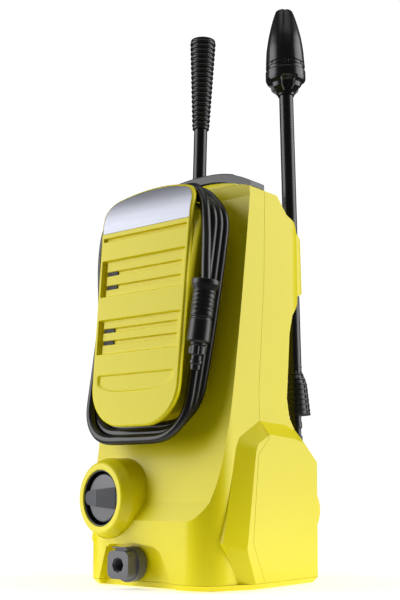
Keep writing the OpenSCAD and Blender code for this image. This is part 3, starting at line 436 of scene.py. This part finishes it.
heights = np.arange(3, 3 + RIBS * RIB_PITCH, 0.31)
radii = SLEEVE_LOW + (SLEEVE_HIGH - SLEEVE_LOW) * heights / 117 + RIB_HEIGHT * rib_rise(heights)
foot = softened([(0, 0), (SLEEVE_LOW + 1.6, 0), (SLEEVE_LOW + 1.2, 3)], 0.8)
cap = softened([(SLEEVE_HIGH + 1.0, 115), (SLEEVE_HIGH + 0.6, 116), (SLEEVE_HIGH - 2, 117), (3.2, 117),
                (3.2, 110), (0, 110)], 1.0)
profile = np.concatenate([foot, np.stack([radii, heights], axis=1), cap])
profile[:, 1] += SPRAY_TOP
sleeve = grid_piece("spray_sleeve_finished", turned_points(profile, lance_axis(SPRAY_X), 96),
                    BODY_OF["spray_sleeve"], black_polyamide, ["spray_sleeve"], degrees=60)
print("sleeve faces", len(sleeve.data.polygons))

# %% [markdown]
# ## The rotary nozzle head
# The other lance carries a rotary nozzle: a bullet-shaped hood that sits on a
# ring, with four claws under it. The claws stand on the axes and the hollows
# lie between them, so the radius runs from hollow to claw with the cosine of
# four times the angle, steepened by a smooth step.
# %% Rotary nozzle head
HOOD = [(0, 38.2), (HEAD_R - 0.7, 38.2), (HEAD_R - 0.7, 40), (HEAD_R - 1.6, 56), (HEAD_R - 3.8, 72),
        (HEAD_R - 7.0, 86), (HEAD_R - 10.4, 98), (HEAD_R - 12.8, 104.6), (HEAD_R - 14.6, 106),
        (5.5, 106), (5.5, 92), (0, 92)]
hood_profile = softened(HOOD, 6, 6)
hood_profile[:, 1] += ROTOR_TOP


def hood_flats(r, h, angle):
    """Four shallow scoops run up the hood and fade out towards its foot."""
    lobe = step_between(np.cos(4 * angle + np.pi), 0.35, 0.95)
    rise = step_between(h - ROTOR_TOP, 52, 98)
    return r - 1.5 * lobe * rise * (r > 6)


hood_points = turned_points(densified(hood_profile, 2.5), lance_axis(ROTOR_X), 128, hood_flats)
hood = grid_piece("rotor_hood_finished", hood_points, BODY_OF["rotor_hood"], black_polypropylene,
                  ["rotor_hood"], degrees=50)

RING = [(0, 0), (LANCE_R + 1.4, 0), (LANCE_R + 2.2, 2.4), (HEAD_R - 7.5, 7.6), (HEAD_R - 5.6, 9),
        (HEAD_R - 4.6, 13.5), (HEAD_R - 1, 17), (HEAD_R, 20), (HEAD_R, 29.4), (HEAD_R - 1.3, 30.2),
        (HEAD_R - 1.3, 33.4), (HEAD_R - 0.4, 34.2), (HEAD_R - 0.4, 37.6), (0, 37.6)]


def claws(r, h, angle):
    """Between the claws the foot of the ring falls back to a cone round the tube."""
    claw = step_between(np.cos(4 * angle), -0.15, 0.25)
    low = h - ROTOR_TOP
    hollow = LANCE_R + 0.9 + 0.42 * low
    fade = step_between(low, 15, 19.5)
    deep = np.minimum(r, hollow)
    return np.where(r > LANCE_R, r - (r - deep) * (1 - claw) * (1 - fade), r)


def ring_keys(r, h, angle):
    """The claws, and small notches cut into the band under the hood."""
    band = (np.abs(h - ROTOR_TOP - 35.8) < 1.9) & (r > HEAD_R - 1)
    notch = step_between(np.cos(8 * angle + 0.6), 0.80, 0.9)
    return claws(r, h, angle) - 1.0 * band * notch


ring_profile = densified(softened(RING, 0.7, 3), 0.6)
ring_profile[:, 1] += ROTOR_TOP
ring = grid_piece("rotor_ring_finished", turned_points(ring_profile, lance_axis(ROTOR_X), 192, ring_keys),
                  BODY_OF["rotor_ring"], black_polypropylene, ["rotor_ring"], degrees=40)
print("head faces", len(hood.data.polygons) + len(ring.data.polygons))

# %% [markdown]
# ## The plug-in grips
# The lower end of each lance plugs into the spray gun. Its grip has a net of
# thin raised lines with sunk fields between them, which is cheap to mould and
# gives a hold both along and round. Below it a nose with a seal and a
# two-lug bayonet follows.
# %% Plug-in grips
GRIP_ROWS, GRIP_ROW = 9, 5.6
GRIP_TOP = GRIP_Z + GRIP_ROWS * GRIP_ROW


def net(r, h, angle):
    """Sinks the fields of the net: a line is kept where h is near a multiple of the
    row height or the angle is near a multiple of 45 degrees."""
    across = np.abs(np.mod(h - GRIP_Z + GRIP_ROW / 2, GRIP_ROW) - GRIP_ROW / 2)
    around = np.abs(np.mod(angle + np.pi / 8, np.pi / 4) - np.pi / 8) * r
    field = step_between(across, 0.55, 0.95) * step_between(around, 0.6, 1.0)
    inside = (h > GRIP_Z + 0.5) & (h < GRIP_TOP + 1)
    return r - 1.1 * field * inside * (r > LANCE_R)


def grip_radius(row):
    """The grip thins slowly up to two thirds of its height, then rounds in."""
    return LANCE_R + 8.6 - 0.5 * row - 1.15 * max(0, row - 5.6) ** 1.6 / 1.6


GRIP = [(0, 128), (6, 128), (6, 140), (5.5, 141), (5.5, 147.5), (7, 148), (7, 153.5), (5.8, 154),
        (5.8, 161.5), (7, 162.5), (7, 168), (6.4, 169), (6.4, GRIP_Z), (LANCE_R + 8.6, GRIP_Z)]
GRIP += [(grip_radius(k / 4), GRIP_Z + k * GRIP_ROW / 4) for k in range(1, 4 * GRIP_ROWS)]
GRIP += [(LANCE_R + 0.4, GRIP_TOP + 3.6), (0, GRIP_TOP + 3.6)]
for lance, x in (("spray", SPRAY_X), ("rotor", ROTOR_X)):
    node = lance + "_lance_grip"
    grip_points = turned_points(densified(softened(GRIP, 0.5, 3), 0.28), lance_axis(x), 160, net)
    grip = grid_piece(node + "_finished", grip_points, BODY_OF[node], black_polyamide, [node], degrees=50)
    origin, side, y, up = lance_axis(x)
    lug = bmesh.new()
    bmesh.ops.create_cube(lug, size=1)
    lug_mesh = bpy.data.meshes.new(lance + "_bayonet_lugs")
    lug.to_mesh(lug_mesh)
    lug.free()
    corners = np.empty(len(lug_mesh.vertices) * 3)
    lug_mesh.vertices.foreach_get("co", corners)
    size = corners.reshape(-1, 3) * np.array([21, 6, 6])
    world = origin + size[:, :1] * side + size[:, 1:2] * y + (size[:, 2:] + LANCE_Z + 10) * up
    lug_mesh.vertices.foreach_set("co", (world * MM).ravel())
    lug_mesh.materials.append(black_polyamide)
    smooth_by_angle(lug_mesh, 30)
    lugs = bpy.data.objects.new(lug_mesh.name, lug_mesh)
    bpy.context.scene.collection.objects.link(lugs)
    rounding = lugs.modifiers.new("moulded_edge", "BEVEL")
    rounding.width, rounding.segments = 0.8 * MM, 3
    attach(lugs, BODY_OF[node])
    print(grip.name, len(grip.data.polygons))

# %% [markdown]
# ## The hose
# A high-pressure hose is a stiff black tube with a smooth jacket. It is wound
# three times round the hub behind the front panel, from the back to the front,
# and its free end goes over the top and hangs down the right side to the
# coupling. The route repeats the design's: a loop with rounded corners that
# narrows and shifts towards the bottom, as the strands do when pulled tight.
# %% Hose route
HOSE_D = 9.6
PANEL_TOP, PANEL_Z, PANEL_T = 415.0, 159.0, 8.0
COIL_TOP, COIL_HALF, COIL_CORNER, TURNS = 400.4, 70.0, 36.0, 3
TAIL_ROUTE = [(-56, -58, 405), (-46, -57.5, 409), (-32, -56, 410.6), (-16, -53.5, 409.8), (0, -52.5, 409.4),
              (16, -52.5, 409.4), (32, -54, 409.8), (46, -58.5, 408), (57, -62.5, 402), (65, -66, 392),
              (70, -69, 378), (73, -72, 362), (77, -76, 344.4), (81, -82, 322.4), (84, -86, 299)]
LEAD_ROUTE = [(-4, -38, 414), (10, -38, 414), (24, -38, 412.5), (37, -38, 409.5), (48, -38, 405)]


def panel_y(z):
    """Front face of the panel: it leans back with height, more so near its top."""
    bend = np.where(z > PANEL_TOP - 42, 0.0085 * (z - PANEL_TOP + 42) ** 2, 0)
    return -97.5 + 0.066 * (z - PANEL_Z) + bend


def coil_points(turn, d):
    """Points of the winding. turn runs from 1 at the back to 3 at the front and d is
    the share of the loop, clockwise from the middle of its top. The loop is four
    straight sides joined by quarter circles; its width, shift and distance behind
    the panel follow how far down the point lies."""
    low = PANEL_Z - 13 + (TURNS - turn) * 7
    flat, quarter = COIL_HALF - COIL_CORNER, np.pi * COIL_CORNER / 2
    upright = COIL_TOP - low - 2 * COIL_CORNER
    lengths = [flat, quarter, upright, quarter, 2 * flat, quarter, upright, quarter]
    ends = np.cumsum(np.stack([length + 0 * upright for length in lengths]), axis=0)
    s = d * (ends[-1] + flat)
    a = [(s - e) / COIL_CORNER for e in ends]
    r, h = COIL_CORNER, COIL_HALF - COIL_CORNER
    pieces = [s < e for e in ends]
    across = [s, h + r * np.sin(a[0]), h + r + 0 * s, h + r * np.cos(a[2]), h - (s - ends[3]),
              -h - r * np.sin(a[4]), -h - r + 0 * s, -h - r * np.cos(a[6])]
    x = np.select(pieces, across, -h + (s - ends[7]))
    z = np.select(pieces, [COIL_TOP + 0 * s, COIL_TOP - r + r * np.cos(a[0]), COIL_TOP - r - (s - ends[1]),
                           low + r - r * np.sin(a[2]), low + 0 * s, low + r - r * np.cos(a[4]),
                           low + r + (s - ends[5]), COIL_TOP - r + r * np.sin(a[6])], COIL_TOP)
    down = (COIL_TOP - z) / (COIL_TOP - (PANEL_Z - 13))
    x = -13.5 * down + x * (74 - 6.5 * down) / COIL_HALF
    back = PANEL_T + 18 + (HOSE_D + 0.2) * (TURNS - turn)
    back = back + (PANEL_T + 6 + 7 * (TURNS - turn) - back) * down**2
    return np.stack([x, panel_y(np.minimum(z, PANEL_TOP - 42)) + back, z], axis=1)


def outward(points):
    """Unit directions that point away from the loop: the tangent in the XZ plane
    turned by a quarter turn."""
    t = np.gradient(points[:, [0, 2]], axis=0)
    t /= np.linalg.norm(t, axis=1)[:, None]
    return np.stack([-t[:, 1], 0 * t[:, 0], t[:, 0]], axis=1)


def relaxed(points, step_mm, rounds):
    """Resamples a route at an even step and then averages each point with its
    neighbours, so that straight and curved runs flow into each other."""
    p = np.asarray(points, float)
    along = np.concatenate([[0], np.cumsum(np.linalg.norm(np.diff(p, axis=0), axis=1))])
    even = np.linspace(0, along[-1], int(along[-1] / step_mm) + 1)
    p = np.stack([np.interp(even, along, p[:, k]) for k in range(3)], axis=1)
    for _ in range(rounds):
        p[1:-1] = 0.25 * p[:-2] + 0.5 * p[1:-1] + 0.25 * p[2:]
    return p


share = np.linspace(0, 1, 120)
first = share[share > 0.10]
wind_1 = coil_points(1 + step_between(first, 0.86, 0.995), first)
wind_2 = coil_points(2 + step_between(share, 0.86, 0.995), share)
last = share[share < 0.90]
wind_3 = coil_points(3 + 0 * last, last)
wind_3 = wind_3 + outward(wind_3) * 10.6 * step_between(last, 0.74, 0.86)[:, None]
hose_path = np.concatenate([np.array(LEAD_ROUTE, float), wind_1, wind_2[1:-1], wind_3,
                            np.array(TAIL_ROUTE, float)])
hose_path = relaxed(hose_path, 4.0, 6)

# %% [markdown]
# ## The hose as a curve
# A cord keeps its round section best as a curve with a bevel: the path is the
# centreline and the bevel depth the radius.
# %% Hose curve
hose_curve = bpy.data.curves.new("wound_hose", "CURVE")
hose_curve.dimensions = "3D"
hose_curve.bevel_depth = HOSE_D / 2 * MM
hose_curve.bevel_resolution = 6
hose_curve.use_fill_caps = True
spline = hose_curve.splines.new("POLY")
spline.points.add(len(hose_path) - 1)
spline.points.foreach_set("co", np.column_stack([hose_path * MM, np.ones(len(hose_path))]).ravel())
spline.use_smooth = True
hose_curve.materials.append(hose_jacket)
hose = bpy.data.objects.new("wound_hose", hose_curve)
bpy.context.scene.collection.objects.link(hose)
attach(hose, "housing")
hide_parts("hose_coil", "hose_tail")

# %% [markdown]
# ## The front panel
# The panel covers the wound hose. It is one grid: each row runs across it at
# one height, between edges found on its rounded outline, and a depth is added
# behind the leaning front face. Bands stay at the front, the fields between
# them are sunk, grooves lie in the fields, and a deep gap runs down their
# left ends. Distances near an edge are counted from that edge, so the gap and
# the rim keep their widths while the panel tapers.
# %% Front panel
PANEL_HALF, PANEL_TAPER = 63.5, 9.0
BANDS = ((337, 359), (272, 298), (213, 236))
GROOVES = (323, 308, 261, 248)
SLOTTED = ((236, 272), (298, 337))
FIELD_LOW, FIELD_HIGH, BADGE_LOW, SCOOP_LOW = 213, 363, 368, 194
FIELD_DEEP, GROOVE_DEEP, GAP_DEEP, SCOOP_DEEP, BADGE_DEEP = 3.4, 2.6, 4.2, 1.6, 1.25
GROOVE_HALF, MARGIN, RIM_R, BACK_INSET = 2.6, 14, 2.4, 2.4


def arc_corners(corners, radii, steps=10):
    """Rounds the corners of a closed outline with arcs: an arc touches both sides at
    r / tan(half the corner's angle) from the corner."""
    p = np.array(corners, float)
    out = []
    for k, r in enumerate(radii):
        u, v = p[k - 1] - p[k], p[(k + 1) % len(p)] - p[k]
        u, v = u / np.linalg.norm(u), v / np.linalg.norm(v)
        half = np.arccos(u @ v) / 2
        middle = p[k] + (u + v) / np.linalg.norm(u + v) * r / np.sin(half)
        a, b = p[k] + u * r / np.tan(half) - middle, p[k] + v * r / np.tan(half) - middle
        t = np.linspace(0, 1, steps + 1)[:, None]
        turn = np.pi - 2 * half
        out.append(middle + (a * np.sin(turn * (1 - t)) + b * np.sin(turn * t)) / np.sin(turn))
    return np.concatenate(out)


def between(value, low, high, soft):
    """1 between low and high, and 0 outside; each flank is soft wide."""
    return step_between(value, low, low + soft) * (1 - step_between(value, high - soft, high))


outline = arc_corners([(-PANEL_HALF, PANEL_Z), (PANEL_HALF - PANEL_TAPER, PANEL_Z),
                       (PANEL_HALF, PANEL_TOP - 12), (0, PANEL_TOP + 5), (-PANEL_HALF, PANEL_TOP - 12)],
                      (42, 42, 22, 160, 22), 14)
panel_high, panel_low = outline[:, 1].max(), outline[:, 1].min()
apex = int(np.argmax(outline[:, 1]))
rolled = np.roll(outline, -apex, axis=0)
lowest = int(np.argmin(rolled[:, 1]))
left_chain, right_chain = rolled[: lowest + 1][::-1], rolled[lowest:]
if left_chain[len(left_chain) // 2, 0] > 0:
    left_chain, right_chain = right_chain, left_chain
left_chain, right_chain = (c[np.argsort(c[:, 1], kind="stable")] for c in (left_chain, right_chain))

groove_edges = [g + k for g in GROOVES for k in (-GROOVE_HALF, GROOVE_HALF)]
edges_z = np.array([z for pair in BANDS for z in pair] + groove_edges + [FIELD_HIGH, BADGE_LOW, 195], float)
rows = np.concatenate([np.linspace(panel_low, panel_high, 150),
                       panel_low + 42 * (1 - np.cos(np.linspace(0, np.pi / 2, 24))),
                       panel_high - 20 * (1 - np.cos(np.linspace(0, np.pi / 2, 34)))]
                      + [edge + np.linspace(-1.6, 1.6, 9) for edge in edges_z])
rows = np.unique(rows.round(2))
rows = rows[(rows > panel_low) & (rows < panel_high)]
rows = np.concatenate([[panel_low + 0.001], rows, [panel_high - 0.001]])
left = np.interp(rows, left_chain[:, 1], left_chain[:, 0])[:, None]
right = np.interp(rows, right_chain[:, 1], right_chain[:, 0])[:, None]
near = np.unique(np.concatenate([np.linspace(0, MARGIN, 20), 2.5 * (1 - np.cos(np.linspace(0, np.pi / 2, 7))),
                                 4.5 + np.linspace(-0.6, 0.6, 5), 9 + np.linspace(-0.6, 0.6, 5)]).round(2))
near = near[None, :] / MARGIN
margin = np.minimum(MARGIN, 0.35 * (right - left))
middle = np.linspace(0, 1, 52)[None, 1:-1]
x = np.concatenate([left + near * margin, left + margin + (right - left - 2 * margin) * middle,
                    right - near[:, ::-1] * margin], axis=1)
z = rows[:, None] + 0 * x
from_left, from_right = x - left, right - x


def edge_distance(x, z):
    """Distance of each point to the nearest side of the outline."""
    a, b = outline, np.roll(outline, -1, axis=0)
    best = np.full(x.shape, 1e9)
    for (ax, az), (bx, bz) in zip(a, b):
        length = (bx - ax) ** 2 + (bz - az) ** 2
        if length > 1e-9:
            t = np.clip(((x - ax) * (bx - ax) + (z - az) * (bz - az)) / length, 0, 1)
            best = np.minimum(best, np.hypot(x - ax - t * (bx - ax), z - az - t * (bz - az)))
    return best


rim = edge_distance(x, z)
inside = step_between(rim, 4.0, 5.0)
band = np.clip(sum(between(z, low - 0.8, high + 0.8, 1.6) for low, high in BANDS), 0, 1)
field = between(z, FIELD_LOW, FIELD_HIGH, 0.8) * inside
slotted = np.clip(sum(between(z, low, high, 1.2) for low, high in SLOTTED), 0, 1)
groove = np.clip(sum(between(z, g - 2.7, g + 2.7, 1.2) for g in GROOVES), 0, 1)
scoop_edge = SCOOP_LOW + 10 * (np.abs(x + 5) / 52) ** 4
scoop = step_between(z, scoop_edge, scoop_edge + 2.5) * (1 - step_between(z, FIELD_LOW - 1, FIELD_LOW))
depth = FIELD_DEEP * field * (1 - band)
depth += GROOVE_DEEP * slotted * groove * step_between(from_left, 8.6, 9.2) * step_between(from_right, 9, 12)
depth += GAP_DEEP * slotted * between(from_left, 4.4, 9.0, 0.6)
depth += SCOOP_DEEP * scoop * step_between(rim, 7, 11)
depth += BADGE_DEEP * step_between(rim, 1.9, 2.3) * step_between(z, BADGE_LOW - 0.3, BADGE_LOW + 0.1)
depth += RIM_R - np.sqrt(np.clip(RIM_R**2 - np.clip(RIM_R - rim, 0, RIM_R) ** 2, 0, None))
front = np.stack([x, panel_y(z) + depth, z], axis=2)
hair, inset = np.minimum(0.01, margin), np.minimum(BACK_INSET, margin)
back_x = np.concatenate([right - hair, right - inset, left + inset, left + hair], axis=1)
back_z = rows[:, None] + 0 * back_x
back_y = panel_y(back_z) + np.array([3.2, PANEL_T, PANEL_T, 3.2])[None, :]
skin = np.concatenate([front, np.stack([back_x, back_y, back_z], axis=2)], axis=1)
lid = skin[[0, -1]]
lid[..., 1] = panel_y(lid[..., 2]) + PANEL_T / 2
skin = np.concatenate([lid[:1], skin, lid[1:]])
panel = grid_piece("hose_panel_finished", skin, "housing", yellow_abs, ["hose_panel"], degrees=40)
print("panel faces", len(panel.data.polygons))

# %% [markdown]
# ## Dark slots in the panel
# The grooves pass through the panel at their left ends, and the store behind
# them is unlit. A short black strip of painted shade stands in each of these ends; it is no part of the
# machine.
# %% Slot ends, painted shade
box_corners = np.array([(a, b, c) for c in (0, 1) for b in (0, 1) for a in (0, 1)], float)
box_faces = np.array([(0, 2, 3, 1), (4, 5, 7, 6), (0, 1, 5, 4), (2, 6, 7, 3), (0, 4, 6, 2), (1, 3, 7, 5)])
lows = np.array([(-PANEL_HALF + 9.2, panel_y(g) + 4.7, g - 2.1) for g in GROOVES])
strips = lows[:, None] + box_corners * np.array([14, 1.4, 4.2])
strip_faces = box_faces + 8 * np.arange(len(GROOVES))[:, None, None]
strip_mesh = bpy.data.meshes.new("painted_slot_shade")
strip_mesh.from_pydata((strips.reshape(-1, 3) * MM).tolist(), [], strip_faces.reshape(-1, 4).tolist())
# the black rubber finish only gives these strips of painted shade their black colour
strip_mesh.materials.append(black_rubber)
painted_slot_shade = bpy.data.objects.new("painted_slot_shade", strip_mesh)
bpy.context.scene.collection.objects.link(painted_slot_shade)
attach(painted_slot_shade, "housing")
print("slot ends:", len(GROOVES))

# %% [markdown]
# ## The hose couplings
# The free end carries the coupling that plugs into the machine: a flange, a
# sleeve with keys for wet fingers, a smooth collar and a bayonet nose. Keys
# stand in four columns, so their rise is the product of a row test along the
# axis and a column test round it. The gun end is a plain sleeve with a collar.
# %% Couplings
COUPLING_TOP, COUPLING_END = np.array([84.0, -86, 299]), np.array([73.5, -90, 212])
COUPLING = [(0, 0), (13.6, 0), (14, 1), (14, 4.5), (12.6, 7.6), (11.2, 10.5), (11.2, 36.5),
            (10.4, 37.6), (10.4, 39), (11.2, 40), (11.4, 60.5), (10.4, 62), (8, 62.4), (8, 64.5),
            (6.6, 65), (6.6, 74), (5.2, 75), (5.2, 79), (6, 79.6), (6, 83), (5, 83.6), (4.8, 89), (0, 90)]
KEY_TURN = math.radians(5.6)


def coupling_keys(r, h, angle):
    """Raised keys on the sleeve, and two bayonet pads below the collar."""
    row = step_between(np.abs(np.mod(h - 11, 4.3) - 2.15), 0.5, 0.9)
    column = step_between(np.cos(4 * (angle - KEY_TURN)), 0.05, 0.4)
    sleeve_part = (h > 11) & (h < 36.4)
    line = np.abs(np.mod(h - 11, 8.6) - 8.6 / 2) > 8.6 / 2 - 0.35
    pads = (h > 66) & (h < 73.5)
    pad = step_between(np.cos(2 * (angle - KEY_TURN)), 0.2, 0.5)
    return r + sleeve_part * (0.95 * (1 - row) * column - 0.3 * line) + pads * 1.9 * pad


coupling_place = on_axis(COUPLING_TOP, COUPLING_END - COUPLING_TOP, (1, 0, 0))
coupling_points = turned_points(densified(softened(COUPLING, 0.6, 3), 0.35), coupling_place, 144,
                                coupling_keys)
coupling = grid_piece("hose_coupling_finished", coupling_points, "housing", black_polyamide,
                      ["hose_coupling"], degrees=50)
GUN_END = [(0, 0), (5, 0), (5, 10), (8, 11), (8, 24), (7.4, 25), (7.4, 27), (8, 28), (8, 40), (6, 46),
           (0, 46)]
gun_end_place = on_axis(np.array(LEAD_ROUTE[0]) - [GUN_END[-1][1], 0, 0], (1, 0, 0), (0, 0, 1))
gun_end = grid_piece("hose_gun_end_finished", turned_points(softened(GUN_END, 0.8, 3), gun_end_place, 64),
                     "housing", black_polyamide, ["hose_gun_end"], degrees=50)
print("coupling faces", len(coupling.data.polygons))

# %% [markdown]
# ## The switch knob
# The knob is a disc with a pointer across it. The pointer's front is a roof:
# two flat faces meet on a ridge over the axis, so one face looks left and the
# other right and each takes its own light. It is lofted from one rounded
# section whose half width and height follow the place along the pointer.
# %% Switch knob
KNOB_PLACE = on_axis((-50, -93.7, 88), (-math.sin(math.radians(8)), -math.cos(math.radians(8)), 0),
                     (math.cos(math.radians(8)), -math.sin(math.radians(8)), 0))
KNOB_R = 24.5
DISC = [(0, -12), (KNOB_R, -12), (KNOB_R, -5.4), (KNOB_R - 1, -4.4), (0, -4)]
grid_piece("knob_disc", turned_points(softened(DISC, 0.8, 3), KNOB_PLACE, 96), "knob", grey_abs,
           ["switch_knob"])
TIP, RIDGE, HEEL = -23.0, 0.0, 21.5
TIP_W, HEEL_W = 6.2, 11.0
station = np.unique(np.concatenate([TIP + TIP_W * (1 - np.cos(np.linspace(0, np.pi / 2, 10))),
                                    np.linspace(TIP + TIP_W, HEEL, 24),
                                    [-0.7, -0.2, 0.2, 0.7, HEEL - 0.6]]))
half_width = TIP_W + (HEEL_W - TIP_W) * (station - TIP) / (HEEL - TIP)
half_width *= np.sqrt(np.clip(1 - np.clip((TIP + TIP_W - station) / TIP_W, 0, 1) ** 2, 0, 1))
half_width = np.maximum(half_width, 0.02)
crest = np.where(station < RIDGE, 5.4 - 4.5 * (station / TIP), 5.4 - 9.0 * (station / HEEL))
section = softened([(-1.05, 0), (-1, 1), (1, 1), (1.05, 0)], 0.1, 4)
origin, x_way, y_way, z_way = KNOB_PLACE
floor_z = -5.0
lofted = (origin + station[:, None, None] * x_way + (half_width[:, None] * section[:, 0])[..., None] * y_way
          + (floor_z + (crest[:, None] - floor_z) * section[:, 1])[..., None] * z_way)
heel = lofted[-1:].mean(axis=1, keepdims=True) + 0 * lofted[-1:]
pointer = grid_piece("knob_pointer", np.concatenate([lofted, heel]), "knob", grey_abs, degrees=20)
print("pointer faces", len(pointer.data.polygons))

# %% [markdown]
# ## The outlet
# The hose plugs into a grey socket in a pocket low on the front.
# %% Outlet
outlet = rounded_copy("outlet_body", 0.5, degrees=30)
print(outlet.name, len(outlet.data.polygons))

# %% [markdown]
# ## The studio
# A white floor that fades into a white backdrop, one large soft light on each
# side and a weak one above. The two side lights show as long highlights on
# the faces that look left and right, and the edge that looks at the viewer
# stays deep in tone, which is what gives a plain moulding its shape.
# %% Floor, world and lights
floor_mesh = bpy.data.meshes.new("studio_floor")
FLOOR_HALF = 6.0
floor_corners = [(x * FLOOR_HALF, y * FLOOR_HALF, 0) for x, y in ((-1, -1), (1, -1), (1, 1), (-1, 1))]
floor_mesh.from_pydata(floor_corners, [], [(0, 1, 2, 3)])
studio_floor = bpy.data.objects.new("studio_floor", floor_mesh)
bpy.context.scene.collection.objects.link(studio_floor)
paper, paper_tree, paper_out = new_material("matt_white_paper")
paper_shader = add(paper_tree, "ShaderNodeBsdfPrincipled", None, Base_Color=(0.85, 0.85, 0.85, 1),
                   Roughness=0.9, Emission_Color=(1, 1, 1, 1), Emission_Strength=0.5)
floor_place = add(paper_tree, "ShaderNodeTexCoord").outputs["Object"]
floor_reach = add(paper_tree, "ShaderNodeVectorMath", {"operation": "LENGTH"}, n0=floor_place)
floor_fade = add(paper_tree, "ShaderNodeMapRange", {"interpolation_type": "SMOOTHSTEP"},
                 Value=floor_reach.outputs["Value"], From_Min=0.16, From_Max=0.42, To_Min=1.0, To_Max=0.0)
paper_tree.links.new(floor_fade.outputs["Result"], paper_shader.inputs["Alpha"])
paper_tree.links.new(paper_shader.outputs["BSDF"], paper_out.inputs["Surface"])
floor_mesh.materials.append(paper)

world = bpy.data.worlds.new("studio_world")
bpy.context.scene.world = world
world.use_nodes = True
world.node_tree.nodes.clear()
sight = add(world.node_tree, "ShaderNodeLightPath")
seen = add(world.node_tree, "ShaderNodeBackground", None, Color=(1, 1, 1, 1), Strength=1.05)
felt = add(world.node_tree, "ShaderNodeBackground", None, Color=(1, 1, 1, 1), Strength=0.08)
both = add(world.node_tree, "ShaderNodeMixShader", None, n0=sight.outputs["Is Camera Ray"],
           n1=felt.outputs[0], n2=seen.outputs[0])
add(world.node_tree, "ShaderNodeOutputWorld", None, Surface=both.outputs[0])


def softbox(name, azimuth, elevation, distance, width, height, power):
    """An area light that faces the middle of the machine from a direction: azimuth
    is counted from -Y towards +X."""
    light = bpy.data.lights.new(name, "AREA")
    light.shape, light.size, light.size_y, light.energy = "RECTANGLE", width, height, power
    holder = bpy.data.objects.new(name, light)
    a, e = math.radians(azimuth), math.radians(elevation)
    way = np.array([math.sin(a) * math.cos(e), -math.cos(a) * math.cos(e), math.sin(e)])
    holder.location = tuple(way * distance + np.array([0, 0, 0.28]))
    holder.rotation_euler = (math.radians(90 - elevation), 0, a)
    bpy.context.scene.collection.objects.link(holder)
    return holder


softbox("left_softbox", -48, 14, 1.6, 1.3, 1.9, 28)
softbox("right_softbox", 128, 14, 1.6, 1.3, 1.9, 28)
softbox("top_softbox", 40, 82, 1.9, 1.6, 1.6, 7)
bpy.context.scene.view_settings.view_transform = "Standard"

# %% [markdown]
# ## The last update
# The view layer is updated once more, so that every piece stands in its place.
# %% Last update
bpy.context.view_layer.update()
